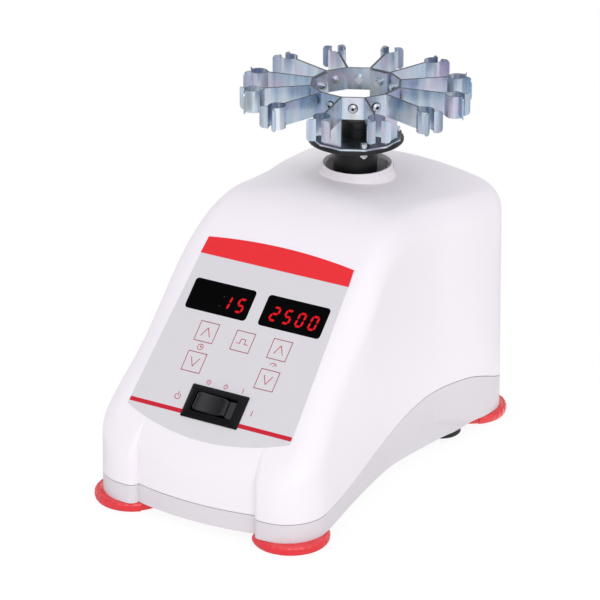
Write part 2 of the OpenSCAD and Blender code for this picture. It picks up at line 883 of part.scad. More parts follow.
module head_post() {
    color("black")
        translate([0, head_y, post_z])
            difference() {
                cylinder(r = post_r, h = dish_under_z - post_z);
                translate([0, 0, -1])
                    cylinder(r = bearing_r, h = head_bearing_z + head_bearing_h - post_z + 1);
                cylinder(r = crank_r + 1, h = head_bearing_z + head_bearing_h - post_z + 8);
                translate([0, 0, dish_under_z - post_z - 18])
                    cylinder(r = stud_r, h = 30);
            }
}

stud_r = 4;
cage_screw_ring = 33;
nut_seat_z = dish_z - 3;
holder_screws = [for (i = [0 : 3]) let (a = 45 + 90 * i) [cage_screw_ring * cos(a), cage_screw_ring * sin(a)]];

module dish() {
    color("black")
        translate([0, head_y, 0])
            difference() {
                rotate_extrude($fn = 96)
                    polygon(concat([[0, dish_under_z], [post_r, dish_under_z]],
                        [for (i = [1 : 8]) [mix(post_r, dish_r - 0.5, i / 8),
                            mix(dish_under_z, dish_z - 2.9, i / 8) - 0.6 * sin(22.5 * i)]],
                        [[dish_r, dish_z - 2.4], [dish_r, dish_z - 1.2], [dish_r - 1.2, dish_z], [0, dish_z]]));
                rotate(holder_turn)
                    for (p = holder_screws)
                        translate([p[0], p[1], dish_under_z - 5]) {
                            cylinder(r = 1.5, h = 30);
                            cylinder(r = 3.6, h = nut_seat_z - dish_under_z + 5);
                        }
                translate([0, 0, dish_under_z - 5])
                    cylinder(r = stud_r, h = 30);
            }
}

strap_t = 1.5;
facet = 360 / clips;
apothem = ring_r * cos(facet / 2);
facet_w = 2 * ring_r * sin(facet / 2);
strap_at = apothem - ring_t;
cage_r = strap_at / cos(facet / 2);
ring_z = ring_top - ring_h;

module at_head() {
    translate([0, head_y, 0])
        rotate(holder_turn)
            children();
}

module tube_cage() {
    color("lightsteelblue")
        at_head()
            difference() {
                union() {
                    translate([0, 0, dish_z])
                        rotate(facet / 2)
                            cylinder(r = dish_r - 1, h = strap_t, $fn = 12);
                    for (a = [0 : 90 : 270])
                        rotate(a)
                            translate([strap_at - strap_t, -facet_w / 2 + 1, dish_z])
                                cube([strap_t, facet_w - 2, ring_top - 0.6 - dish_z]);
                }
                for (p = holder_screws)
                    translate([p[0], p[1], dish_z - 5])
                        cylinder(r = 1.5, h = 10);
                translate([0, 0, dish_z - 5])
                    cylinder(r = stud_r, h = 30);
                for (a = [0 : 90 : 270])
                    rotate(a)
                        translate([strap_at, 0, ring_z + ring_h / 2])
                            rotate([0, 90, 0])
                                cylinder(r = clip_screw_r, h = 8, center = true);
            }
}

clip_screw_r = 2;

module clip_ring() {
    color("lightsteelblue")
        at_head()
            translate([0, 0, ring_z])
                difference() {
                    rotate(facet / 2)
                        cylinder(r = ring_r, h = ring_h, $fn = 12);
                    translate([0, 0, -1])
                        rotate(facet / 2)
                            cylinder(r = cage_r, h = ring_h + 2, $fn = 12);
                    for (i = [0 : clips - 1])
                        rotate(i * facet)
                            translate([apothem, 0, ring_h / 2])
                                rotate([0, 90, 0])
                                    cylinder(r = clip_screw_r, h = 8, center = true);
                }
}

// A clip is bent from one strip: a flat base on the ring's facet, a leg along each corner's radial
// line, back to back with the next clip's leg, and half of a tube seat at the end of each leg.
// Places on a leg are [distance from the axis, distance from the radial line].
back_gap = 0.15;
leg_v = clip_t / 2 + back_gap;
jaw_back = 50;
jaw_front = 40;
jaw_flats = 5;
jaw_corner_r = (seat_r - 0.15 + clip_t / 2) / cos((jaw_back + jaw_front) / jaw_flats / 2);
jaw_line = [for (k = [0 : jaw_flats]) let (a = mix(-jaw_back, jaw_front, k / jaw_flats))
    [tube_ring_r + jaw_corner_r * sin(a), jaw_corner_r * cos(a)]];
mouth_u = 88.3;
mouth_v = 2.8;
lip_v = 9.3;
lip_line = [[mouth_u, mouth_v], [mouth_u + 1.3, mouth_v + 2.4], [tip_r - 1, lip_v]];
flare = (jaw_line[0][1] - leg_v) * cos(jaw_back) / sin(jaw_back);
leg_line = concat([[jaw_line[0][0] - flare, leg_v]], jaw_line, lip_line);
// The same place in the clip's own frame: x out from the axis, y along the facet
function leg_point(q, side) = let (a = facet / 2)
    [q[0] * cos(a) + q[1] * sin(a), side * (q[0] * sin(a) - q[1] * cos(a))];
clip_base_x = apothem + clip_t / 2;
clip_corner_y = (clip_base_x * sin(facet / 2) - leg_v) / cos(facet / 2);
clip_line = concat(
    [for (i = [len(leg_line) - 1 : -1 : 0]) leg_point(leg_line[i], -1)],
    [[clip_base_x, -clip_corner_y], [clip_base_x, clip_corner_y]],
    [for (q = leg_line) leg_point(q, 1)]);

// Outline of a strip of sheet along a line, with mitred bends
function strip_side(line, half_t) = [for (i = [0 : len(line) - 1])
    let (a = line[max(0, i - 1)], b = line[i], c = line[min(len(line) - 1, i + 1)],
        d0 = i == 0 ? c - b : b - a, d1 = i == len(line) - 1 ? b - a : c - b,
        n0 = [-d0[1], d0[0]] / norm(d0), n1 = [-d1[1], d1[0]] / norm(d1),
        m = (n0 + n1) / norm(n0 + n1))
        b + m * half_t / (m * n0)];
function strip(line, t) = let (l = strip_side(line, t / 2), r = strip_side(line, -t / 2))
    concat(l, [for (i = [len(r) - 1 : -1 : 0]) r[i]]);

// The bore of one tube seat, and the rounding of its lip's two corners
lip_corner_r = 3;
module jaw_cuts(side) {
    rotate(side * facet / 2) {
        translate([tube_ring_r, 0, -1])
            cylinder(r = seat_r, h = ring_h + 2);
        for (top = [0, 1])
            translate([mouth_u + 1.2, -side * (lip_v - lip_corner_r),
                top * ring_h + (1 - 2 * top) * lip_corner_r])
                difference() {
                    translate([0, -side * 2.5, (2 * top - 1) * 2.5])
                        cube([8, 5, 5], center = true);
                    rotate([0, 90, 0])
                        cylinder(r = lip_corner_r, h = 10, center = true);
                }
    }
}

module clip(i) {
    color("lightsteelblue")
        at_head()
            rotate(i * facet)
                translate([0, 0, ring_z])
                    difference() {
                        linear_extrude(ring_h)
                            polygon(strip(clip_line, clip_t));
                        for (side = [-1, 1])
                            jaw_cuts(side);
                        translate([apothem, 0, ring_h / 2])
                            rotate([0, 90, 0])
                                cylinder(r = clip_screw_r, h = 8, center = true);
                    }
}

module clip_screws() {
    color("silver")
        at_head()
            for (i = [0 : clips - 1])
                rotate(i * facet)
                    translate([apothem + clip_t, 0, ring_z + ring_h / 2])
                        rotate([0, 90, 0]) {
                            inner_face = clip_t + ring_t + (i % 3 == 0 ? strap_t : 0);
                            difference() {
                                rotate_extrude($fn = 32)
                                    polygon([[0, 0], [4, 0], [3.8, 0.9], [3, 1.8], [1.6, 2.3], [0, 2.3]]);
                                translate([0, 0, 1])
                                    cylinder(r = 1.4, h = 3, $fn = 6);
                            }
                            translate([0, 0, -inner_face - 3.4])
                                cylinder(r = clip_screw_r, h = inner_face + 3.4 + eps);
                            translate([0, 0, -inner_face - 2.6])
                                difference() {
                                    cylinder(r = 3.2, h = 2.6);
                                    translate([0, 0, -1])
                                        cylinder(r = clip_screw_r, h = 5);
                                }
                        }
}

module cage_screws() {
    color("silver")
        at_head()
            for (p = holder_screws)
                translate([p[0], p[1], 0]) {
                    translate([0, 0, dish_z + strap_t])
                        cylinder(r = 2.7, h = 3.6);
                    translate([0, 0, nut_seat_z - 4])
                        cylinder(r = 1.5, h = dish_z + strap_t - nut_seat_z + 4 + eps);
                    translate([0, 0, nut_seat_z - 2.6])
                        cylinder(r = 3.2, h = 2.6, $fn = 6);
                }
}

knob_r = 11.6;
knob_h = 14;

module center_knob() {
    base_z = dish_z + strap_t;
    color("black")
        translate([0, head_y, 0]) {
            rotate_extrude()
                polygon(concat([[0, base_z], [knob_r, base_z], [knob_r, base_z + knob_h * 0.46],
                    [knob_r - 0.5, base_z + knob_h * 0.5], [knob_r, base_z + knob_h * 0.54]],
                    arc(knob_r - 3, base_z + knob_h - 3, 3, 0, 90, 5),
                    [[0, base_z + knob_h]]));
            translate([0, 0, dish_under_z - 16])
                cylinder(r = stud_r, h = base_z - dish_under_z + 16 + eps);
        }
}

// The boot hangs from the collar of the neck and grips the post, so that the head orbits
// without turning
boot_t = 1.8;
boot_low_z = 152;

module neck_boot() {
    grip = post_r + running;
    top = neck_hole_r + 1;
    color("darkslategray") {
        translate([0, drive_y, collar_z - 3])
            difference() {
                cylinder(r = neck_hole_r + collar_t + 2, h = 3);
                translate([0, 0, -1])
                    cylinder(r = neck_hole_r - 1, h = 5);
            }
        translate([0, head_y, 0])
            rotate_extrude()
                polygon([[grip, boot_low_z], [grip + boot_t, boot_low_z], [grip + boot_t, boot_low_z + 7],
                    [grip + 9, boot_low_z + 13], [grip + 5, boot_low_z + 20], [top, collar_z - 3],
                    [top, collar_z - 1.5], [top - boot_t, collar_z - 1.5], [grip + 5 - boot_t, boot_low_z + 20],
                    [grip + 9 - 2 * boot_t, boot_low_z + 13], [grip, boot_low_z + 8]]);
    }
}

// ---- nodes ----

upper_housing();
lower_base();
bottom_cover();
foot_at(-1, -1);  // foot_front_left
foot_at(1, -1);  // foot_front_right
foot_at(-1, 1);  // foot_rear_left
foot_at(1, 1);  // foot_rear_right
side_pads();
base_screws();
panel_film();
display_window(-1);  // window_time
display_window(1);  // window_speed
display(-1);  // display_time
display(1);  // display_speed
control_board();
key(0);  // key_time_up
key(1);  // key_time_down
key(2);  // key_speed_up
key(3);  // key_speed_down
key(4);  // key_pulse
rocker_bezel();
rocker();
mains_inlet();
power_board();
transformer();
motor_stand();
post_clips();
rubber_mounts();
touch_switch();
switch_plunger();
motor_plate();
motor_can();
motor_end_cap();
stator();
shaft_bearings();
motor_shaft();
rotor_core();
eccentric_hub();
counterweight();
neck_boot();
head_bearing();
head_post();
dish();
center_knob();
tube_cage();
cage_screws();
clip_ring();
clip_screws();
clip(0);  // clip_01
clip(1);  // clip_02
clip(2);  // clip_03
clip(3);  // clip_04
clip(4);  // clip_05
clip(5);  // clip_06
clip(6);  // clip_07
clip(7);  // clip_08
clip(8);  // clip_09
clip(9);  // clip_10
clip(10);  // clip_11
clip(11);  // clip_12
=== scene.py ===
# %% [markdown]
# # A vortex mixer with a spring-clip tube holder
# The CAD model gives every solid its size and its joint. This file dresses it: smooth moulded
# shells, printed film, lit digits and a finish for every piece. We start by loading the frame.

# %% Load the frame
import json
import math
import bpy
import bmesh
import numpy as np
from mathutils import Matrix, Vector
from mathutils.geometry import delaunay_2d_cdt


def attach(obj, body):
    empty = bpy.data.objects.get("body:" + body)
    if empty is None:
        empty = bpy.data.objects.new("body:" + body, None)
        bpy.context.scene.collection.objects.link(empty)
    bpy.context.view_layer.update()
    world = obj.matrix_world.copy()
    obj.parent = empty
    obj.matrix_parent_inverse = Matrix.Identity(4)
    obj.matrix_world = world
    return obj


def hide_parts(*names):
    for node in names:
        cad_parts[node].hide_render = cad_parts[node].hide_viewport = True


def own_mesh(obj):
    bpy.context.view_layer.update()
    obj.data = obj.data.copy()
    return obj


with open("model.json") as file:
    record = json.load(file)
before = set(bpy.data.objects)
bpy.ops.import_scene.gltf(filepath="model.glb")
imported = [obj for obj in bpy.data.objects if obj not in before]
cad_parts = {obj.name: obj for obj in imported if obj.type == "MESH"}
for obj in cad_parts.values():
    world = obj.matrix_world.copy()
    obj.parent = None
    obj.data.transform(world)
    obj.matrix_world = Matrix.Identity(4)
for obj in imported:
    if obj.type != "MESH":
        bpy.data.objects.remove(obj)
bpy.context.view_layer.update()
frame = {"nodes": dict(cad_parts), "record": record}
nodes = frame["nodes"]

# %% [markdown]
# ## Small helpers
# Colours are easier to read as the hex codes of a paint chart, but a shader works with linear
# light, so one function turns a code into linear values. The next adds a node and makes its links:
# a value is set on the socket, and another node's output is linked to it. The rest are short names
# for the nodes used most, and starts for a node group's socket, an object and a material.

# %% Colour and node helpers
MM = 0.001


def paint(code):
    """A hex colour code as linear red, green, blue, alpha."""
    parts = [int(code[i:i + 2], 16) / 255 for i in (1, 3, 5)]
    return [c / 12.92 if c <= 0.04045 else ((c + 0.055) / 1.055) ** 2.4 for c in parts] + [1.0]


def add(tree, kind, inputs=None, **settings):
    """Adds a node: settings are its own, inputs are values or the outputs they come from."""
    node = tree.nodes.new(kind)
    for name, value in settings.items():
        setattr(node, name, value)
    for name, value in (inputs or {}).items():
        if isinstance(value, bpy.types.NodeSocket):
            tree.links.new(value, node.inputs[name])
        else:
            node.inputs[name].default_value = value
    return node


def calc(tree, operation, *values):
    """The result of a Math node."""
    return add(tree, "ShaderNodeMath", dict(enumerate(values)), operation=operation).outputs[0]


def remap(tree, value, low, high, to_low=0.0, to_high=1.0):
    """A value carried from the range low to high over to another range."""
    return add(tree, "ShaderNodeMapRange", {"Value": value, "From Min": low, "From Max": high,
                                            "To Min": to_low, "To Max": to_high}).outputs[0]


def noise(tree, place, scale, detail=2.0):
    """Soft noise between 0 and 1."""
    return add(tree, "ShaderNodeTexNoise",
               {"Vector": place, "Scale": scale, "Detail": detail}).outputs["Fac"]


def scaled(tree, place, scale, shift=(0, 0, 0)):
    """A place after scaling and a shift."""
    return add(tree, "ShaderNodeMapping",
               {"Vector": place, "Location": shift, "Scale": scale}).outputs[0]


def blend(tree, factor, one, other):
    """A colour between two. On a Mix node for colours these are inputs 0, 6 and 7."""
    return add(tree, "ShaderNodeMix", {0: factor, 6: one, 7: other}, data_type="RGBA").outputs[2]


def socket(tree, label, kind, value=None, way="INPUT"):
    """A new socket of a node group; gives the identifier that a modifier knows it by."""
    made = tree.interface.new_socket(label, in_out=way, socket_type="NodeSocket" + kind)
    if value is not None:
        made.default_value = value
    return made.identifier


def put(name, data):
    """A new object, placed in the scene."""
    obj = bpy.data.objects.new(name, data)
    bpy.context.scene.collection.objects.link(obj)
    return obj


def blank(name):
    """A new material with an empty node tree."""
    look = bpy.data.materials.new(name)
    look.use_nodes = True
    look.node_tree.nodes.clear()
    return look, look.node_tree


print("paint('#808080') =", [round(c, 3) for c in paint("#808080")])

# %% [markdown]
# ## Camera
# A long lens from three metres keeps the body's lines nearly parallel, as in a catalogue view. The
# camera stands to the right of the front and looks down on the panel.

# %% Camera
target = Vector((0, -8.24, 134.47)) * MM
turn, rise = math.radians(31.62), math.radians(22.94)
back = Vector((math.sin(turn) * math.cos(rise), -math.cos(turn) * math.cos(rise), math.sin(rise)))
camera = put("camera", bpy.data.cameras.new("camera"))
bpy.context.scene.camera = camera
camera.location = target + back * 3.045
camera.rotation_euler = back.to_track_quat("Z", "Y").to_euler()
camera.data.sensor_width = 36
camera.data.lens = 233.8
camera.data.clip_end = 50
print("camera at", np.round(camera.location, 3).tolist())

# %% [markdown]
# ## Studio
# White plastic needs a bright room, or it turns grey. The world gives a level light from all
# round, and one broad lamp from the front right models the forms. The camera sees plain white
# behind the object. Shiny metal shows what stands around it, so the reflected world has greyer
# parts, like the gaps between lamps. The floor shows white too, but a part of it still takes the
# real shadow, and it sends a little light up under the base.

# %% World
bpy.context.scene.view_settings.view_transform = "Standard"
world = bpy.data.worlds.new("studio")
bpy.context.scene.world = world
world.use_nodes = True
sky = world.node_tree
sky.nodes.clear()
ray = add(sky, "ShaderNodeLightPath").outputs
seen = calc(sky, "MAXIMUM", ray["Is Camera Ray"], ray["Is Transmission Ray"])
ambient = add(sky, "ShaderNodeBackground", {"Color": paint("#FBFAFF"), "Strength": 0.78})
white = add(sky, "ShaderNodeBackground", {"Color": (1, 1, 1, 1), "Strength": 1.0})
heading = scaled(sky, add(sky, "ShaderNodeTexCoord").outputs["Generated"], (2.6, 2.6, 0.5),
                 (0.7, 0.2, 0))
level = remap(sky, noise(sky, heading, 1.0, 0.0), 0.36, 0.6, 0.25, 1.2)
mirrored = add(sky, "ShaderNodeBackground", {"Color": (1, 1, 1, 1), "Strength": level})
glossy = add(sky, "ShaderNodeMixShader", {0: ray["Is Glossy Ray"], 1: ambient.outputs[0],
                                          2: mirrored.outputs[0]})
mixed = add(sky, "ShaderNodeMixShader", {0: seen, 1: glossy.outputs[0], 2: white.outputs[0]})
add(sky, "ShaderNodeOutputWorld", {"Surface": mixed.outputs[0]})
print("world:", len(sky.nodes), "nodes")

# %% Lamps
for name, place, size, power in (
        ("front_right_softbox", (1.5, -1.55, 0.95), 1.5, 12.4),
        ("overhead_softbox", (-0.3, -0.4, 2.4), 2.4, 8)):
    lamp = bpy.data.lights.new(name, "AREA")
    lamp.shape, lamp.size, lamp.energy = "SQUARE", size, power
    holder = put(name, lamp)
    holder.location = place
    holder.rotation_euler = (Vector(place) - target).to_track_quat("Z", "Y").to_euler()
    print(name, "of", power, "W")

# %% Floor
floor_look, tree = blank("studio floor paint")
ray = add(tree, "ShaderNodeLightPath").outputs
shown = calc(tree, "MAXIMUM", ray["Is Camera Ray"], ray["Is Glossy Ray"])
share = remap(tree, shown, 0, 1, 0.45, 0.85)
# The upright metal mirrors the floor, whose glow is painted in patches that only reflections see
PATCH = 0.4  # metres
patches = scaled(tree, add(tree, "ShaderNodeTexCoord").outputs["Object"],
                 (1 / PATCH, 1 / PATCH, 1), (0.3, 0.6, 0))
painted_reflection_patches = remap(tree, noise(tree, patches, 1.0, 1.0), 0.38, 0.62, 0.3, 1.3)
glow_level = add(tree, "ShaderNodeMix", {0: ray["Is Glossy Ray"], 2: 1.03, 3: painted_reflection_patches},
                 data_type="FLOAT")
matt = add(tree, "ShaderNodeBsdfDiffuse", {"Color": paint("#FDFDFE")})
glow = add(tree, "ShaderNodeEmission", {"Color": (1, 1, 1, 1), "Strength": glow_level.outputs[0]})
mixed = add(tree, "ShaderNodeMixShader", {0: share, 1: matt.outputs[0], 2: glow.outputs[0]})
add(tree, "ShaderNodeOutputMaterial", {"Surface": mixed.outputs[0]})
floor_mesh = bpy.data.meshes.new("studio_floor")
floor_mesh.from_pydata([(-6, -6, 0), (6, -6, 0), (6, 6, 0), (-6, 6, 0)], [], [(0, 1, 2, 3)])
floor_mesh.materials.append(floor_look)
studio_floor = put("studio_floor", floor_mesh)
print("floor:", len(tree.nodes), "nodes in its paint")

# %% [markdown]
# ## Finishes
# Every finish starts from one plain recipe: a base colour that drifts a little from place to
# place, a roughness that drifts with it, and a fine bump for the surface grain. The sizes are in
# millimetres on the real object. Very fine grain, such as the spark-eroded texture of a moulding,
# is drawn as coarse as it needs to show.

# %% The finish recipe


def finish(name, colour, other, roughness, drift_mm, grain_mm, grain, metallic=0.0, spread=0.06,
           specular=0.5, **sockets):
    """A material whose colour drifts between two codes over drift_mm, with a bump of grain_mm."""
    look, tree = blank(name)
    place = add(tree, "ShaderNodeTexCoord").outputs["Object"]
    drift = noise(tree, place, 1 / (drift_mm * MM), 3.0)
    fine = noise(tree, place, 1 / (grain_mm * MM))
    rough = remap(tree, drift, 0.3, 0.7, roughness - spread, roughness + spread)
    bump = add(tree, "ShaderNodeBump", {"Height": fine, "Strength": 1.0, "Distance": grain * MM})
    skin_look = add(tree, "ShaderNodeBsdfPrincipled", {
        "Base Color": blend(tree, drift, paint(colour), paint(other)), "Roughness": rough,
        "Normal": bump.outputs[0], "Metallic": metallic, "Specular IOR Level": specular, **sockets})
    add(tree, "ShaderNodeOutputMaterial", {"Surface": skin_look.outputs[0]})
    return look


looks = {
    # ABS, injection moulded with a fine spark-eroded mould: clean white with a soft shine
    "housing_white": finish("moulded ABS, silk white", "#F6F1F5", "#F3EDF2", 0.42, 60, 0.9, 0.006),
    # The same plastic in light grey, a little duller
    "base_grey": finish("moulded ABS, light grey", "#E1DCE0", "#DDD8DC", 0.45, 60, 0.9, 0.008),
    # Zinc-plated steel sheet of the bottom cover
    "cover_steel": finish("zinc-plated cover sheet", "#B9BCC0", "#A9ADB2", 0.36, 25, 1.5, 0.004,
                          1.0),
    # Soft PVC, moulded and shiny, with the slight cloudiness of a rubbery skin
    "foot_red": finish("soft PVC, signal red", "#EE363D", "#E02E37", 0.22, 14, 1.6, 0.012,
                       **{"Coat Weight": 0.35, "Coat Roughness": 0.12}),
    "rubber_black": finish("black rubber", "#1B1B1E", "#141416", 0.62, 12, 0.8, 0.02),
    # Stainless button heads, turned and tumbled
    "screw_steel": finish("tumbled stainless steel", "#D6D9DE", "#BFC3CA", 0.2, 2.5, 0.8, 0.003,
                          1.0),
    # Polyester overlay film, printed on its back, with a fine velvet texture on its face
    "film_grey": finish("velvet polyester film, grey print", "#D9D7DA", "#D6D4D7", 0.46, 40, 0.7,
                        0.006),
    # Smoked acrylic: it looks black until a digit lights behind it
    "window_black": finish("smoked acrylic", "#050506", "#020203", 0.12, 30, 4.0, 0.0005,
                           spread=0.03, specular=0.02),
    "led_red": finish("LED module, dark red epoxy", "#3A0A0C", "#2C0708", 0.3, 8, 2, 0.002),
    "board_green": finish("circuit board lacquer", "#1F6B3A", "#1A5E33", 0.35, 6, 1.2, 0.01),
    "switch_black": finish("glass-filled nylon, black", "#0C0C12", "#08080C", 0.45, 10, 0.9, 0.01,
                           specular=0.12),
    "plunger_white": finish("acetal, natural white", "#E8E4D8", "#E2DDD0", 0.4, 10, 1, 0.004),
    "core_steel": finish("lamination steel and windings", "#5A5C60", "#4B4D52", 0.45, 3, 1, 0.02,
                         0.8),
    "motor_alu": finish("die-cast aluminium", "#A9ADB2", "#9A9EA4", 0.42, 8, 1.5, 0.02, 1.0),
    # The head: black nylon with a soft shine, its tone and shine drifting a little from place to
    # place
    "head_black": finish("moulded nylon, satin black", "#121215", "#0C0C0E", 0.38, 9, 1.1, 0.01,
                         specular=0.35),
}
print(len(looks), "finishes")

# %% [markdown]
# ## Zinc-plated sheet
# The tube holder is bent from steel sheet that is zinc plated and blue passivated. Such sheet is
# never one colour: it has streaks along the rolling direction, which runs up the arms here, and
# clouds from pale blue to rose where the passivation is thicker. On top of that, painted shade
# darkens every face that faces up or down, the cut edges among them, picked out by the normal's
# height.

# %% The sheet's finish
zinc, tree = blank("zinc-plated sheet, blue passivated")
coords = add(tree, "ShaderNodeTexCoord").outputs
place, normal = coords["Object"], coords["Normal"]
# Streaks: 10 mm apart across, 90 mm long up the sheet
streak = noise(tree, scaled(tree, place, (1 / 0.01, 1 / 0.01, 1 / 0.09)), 1.0)
tones = add(tree, "ShaderNodeValToRGB", {"Fac": streak})
ramp = tones.color_ramp
ramp.elements[0].position, ramp.elements[0].color = 0.28, paint("#95AAC4")
ramp.elements[1].position, ramp.elements[1].color = 0.74, paint("#EEF3F8")
for position, code in ((0.42, "#B5C7DA"), (0.55, "#CDDAE7")):
    ramp.elements.new(position).color = paint(code)
# Rose and straw clouds, 22 mm across
cloud = noise(tree, place, 1 / 0.022)
rosy, strawy = remap(tree, cloud, 0.5, 0.66, 0, 0.6), remap(tree, cloud, 0.42, 0.3, 0, 0.3)
with_rose = blend(tree, rosy, tones.outputs[0], paint("#D8C6DE"))
with_straw = blend(tree, strawy, with_rose, paint("#BDB9A8"))
# Painted shade: faces that face up or down, the cut edges among them, turn towards #5D656E
up_down = calc(tree, "ABSOLUTE", add(tree, "ShaderNodeSeparateXYZ", {0: normal}).outputs["Z"])
plated_with_painted_edge_shade = blend(tree, remap(tree, up_down, 0.8, 0.95), with_straw, paint("#5D656E"))
# The rolling grain: 1.2 mm apart across, 30 mm long
grain = noise(tree, scaled(tree, place, (1 / 0.0012, 1 / 0.0012, 1 / 0.03)), 1.0)
rolled = add(tree, "ShaderNodeBump", {"Height": grain, "Strength": 1.0, "Distance": 0.012 * MM})
sheet_skin = add(tree, "ShaderNodeBsdfPrincipled", {
    "Base Color": plated_with_painted_edge_shade, "Metallic": 1.0, "Roughness": remap(tree, streak, 0.3, 0.7, 0.2, 0.42),
    "Normal": rolled.outputs[0]})
add(tree, "ShaderNodeOutputMaterial", {"Surface": sheet_skin.outputs[0]})
looks["holder_zinc"] = zinc
print("zinc sheet:", len(tree.nodes), "nodes")

# %% Turned nylon and socket screws


def skin_of(look):
    """The Principled node of a finish."""
    return next(node for node in look.node_tree.nodes if node.type == "BSDF_PRINCIPLED")


# The post and the knob are turned, with fine rings 1.4 mm apart
turned = finish("turned nylon, black", "#121215", "#0C0C0E", 0.4, 9, 1.1, 0.004,
                specular=0.35)
tree = turned.node_tree
RING_PITCH = 1.4 * MM
WAVE_UNIT = 0.314  # a Wave texture of scale 1 repeats every 0.314 m
grooves = add(tree, "ShaderNodeTexWave", {
    "Vector": add(tree, "ShaderNodeTexCoord").outputs["Object"], "Scale": WAVE_UNIT / RING_PITCH},
    bands_direction="Z")
ring_bump = add(tree, "ShaderNodeBump", {"Height": grooves.outputs["Fac"], "Distance": 0.06 * MM})
tree.links.new(ring_bump.outputs[0], skin_of(turned).inputs["Normal"])

# The clip screws keep their bright steel on the domes and get painted shade low down, in the hex
# socket and at the rim. How far a point lies from the head's axis tells a dome from a socket.
HEAD_Y = 75.55  # the head's axis at rest
RING_FACE, SOCKET_FLOOR, DOME_START = 34.8, 36.6, 36.9  # millimetres from that axis
screw_steel_painted_shade = finish("stainless steel, painted shade in the sockets", "#CDD1D7", "#B1B6BE", 0.2, 2.5, 0.8,
                  0.003, 1.0)
tree = screw_steel_painted_shade.node_tree
bright = skin_of(screw_steel_painted_shade).inputs["Base Color"].links[0].from_socket
away = add(tree, "ShaderNodeVectorMath", {0: add(tree, "ShaderNodeTexCoord").outputs["Object"],
                                          1: (0, HEAD_Y * MM, 0)}, operation="SUBTRACT")
flat_way = add(tree, "ShaderNodeVectorMath", {0: away.outputs[0], 1: (1, 1, 0)},
               operation="MULTIPLY")
reach = add(tree, "ShaderNodeVectorMath", {0: flat_way.outputs[0]},
            operation="LENGTH").outputs["Value"]
# Painted shade: low in the head, in the socket and at the rim, the steel turns towards #2F3338
low = remap(tree, reach, SOCKET_FLOOR * MM, DOME_START * MM, 1.0, 0.0)
painted_socket_shade = calc(tree, "MULTIPLY", low, calc(tree, "GREATER_THAN", reach, RING_FACE * MM))
tree.links.new(blend(tree, painted_socket_shade, bright, paint("#2F3338")),
               skin_of(screw_steel_painted_shade).inputs["Base Color"])
print("turned nylon and screw steel ready")

# %% [markdown]
# ## CAD pieces that are already right
# Turned and bent pieces keep their CAD shape. Their mesh is loose triangles, so a small node tree
# merges the corners and lets the shading run smoothly over every edge that bends by less than 28
# degrees. That keeps the sheet's bends and the screws' rims crisp. The clips bend in small steps,
# so their limit is 12 degrees.

# %% Soft shading for the CAD meshes
soft = bpy.data.node_groups.new("soft_shading", "GeometryNodeTree")
socket(soft, "Mesh", "Geometry")
crease = socket(soft, "Crease angle", "Float", math.radians(28))
socket(soft, "Mesh", "Geometry", way="OUTPUT")
start = add(soft, "NodeGroupInput")
merged = add(soft, "GeometryNodeMergeByDistance", {"Geometry": start.outputs[0], "Distance": 2e-6})
bend = add(soft, "GeometryNodeInputMeshEdgeAngle")
gentle = add(soft, "FunctionNodeCompare", {0: bend.outputs[0], 1: start.outputs[1]},
             operation="LESS_THAN")
smooth = add(soft, "GeometryNodeSetShadeSmooth",
             {"Geometry": merged.outputs[0], "Shade Smooth": True})
edges = add(soft, "GeometryNodeSetShadeSmooth",
            {"Geometry": smooth.outputs[0], "Shade Smooth": gentle.outputs[0]}, domain="EDGE")
add(soft, "NodeGroupOutput", {0: edges.outputs[0]})

slot_of = {p["node"]: p["material_slot"] for p in frame["record"]["subparts"]}
for name, cad in nodes.items():
    cad.data.materials.clear()
    cad.data.materials.append(looks[slot_of[name]])
    smoother = cad.modifiers.new("soft shading", "NODES")
    smoother.node_group = soft
    if name.startswith("clip_"):
        smoother[crease] = math.radians(12)
for name, look in (("head_post", turned), ("center_knob", turned), ("clip_screws", screw_steel_painted_shade)):
    nodes[name].data.materials[0] = look
print("finish and shading on", len(nodes), "CAD nodes")

# %% [markdown]
# ## The lines of the moulded body
# The body is one long curve in plan: a bowed front between two pillars, round corners, and a waist
# that pulls in for the hands. Above it the roof and the sloped panel meet in a broad soft bend.
# The same rules as in the CAD source are used here, only in finer steps.

# %% Curves of the body
PANEL_TILT = math.radians(44.4)
PANEL_Y, PANEL_Z = -89, 131.9  # where the panel's own origin lies
SEAM_LOW = 23  # the seam's height at the front


def step(a, b, v):
    """Smooth step from 0 at a to 1 at b."""
    t = np.clip((np.asarray(v, float) - a) / (b - a), 0, 1)
    return t * t * (3 - 2 * t)


def soft_max(a, b, width):
    """The higher of two heights, with a fillet where they come within width of each other."""
    near = np.maximum(0, width - abs(a - b))
    return np.maximum(a, b) + near * near / (4 * width)


def seam(y):
    """Height of the seam between base and housing."""
    return SEAM_LOW + 24 * step(-105, 89, y) - 15 * step(99, 160, y)


def roof(x, y):
    """Height of the skin before its edges are rounded: a soft meeting of panel slope and crown."""
    slope = PANEL_Z + math.tan(PANEL_TILT) * (y - PANEL_Y)
    # The crown falls by 85 mm per metre to the rear, and is arched by a radius of 321 mm
    crown = 219.6 - 0.085 * y - x * x / 642
    return -soft_max(-slope, -crown, 33)


def edge_round(y):
    """Radius of the edge between wall and roof."""
    return 11.5 + 13 * step(-165, -128, y) - 6.1 * step(-105, -10, y) - 2.8 * step(110, 160, y)


def lean(y):
    """How far the wall's top leans out over the waist."""
    return 7.2 * step(-110, -38, y) * (1 - step(82, 130, y))


def arc(cx, cy, r, a0, a1, n):
    """Points on an arc from angle a0 to a1, in degrees."""
    a = np.radians(np.linspace(a0, a1, n + 1))
    return np.stack([cx + r * np.cos(a), cy + r * np.sin(a)], 1)


def bezier(a, b, c, d, n):
    """The inner points of a cubic curve in n steps, without its ends."""
    t = np.linspace(0, 1, n + 1)[1:-1, None]
    a, b, c, d = (np.array(p, float) for p in (a, b, c, d))
    return (1 - t) ** 3 * a + 3 * (1 - t) ** 2 * t * b + 3 * (1 - t) * t * t * c + t ** 3 * d


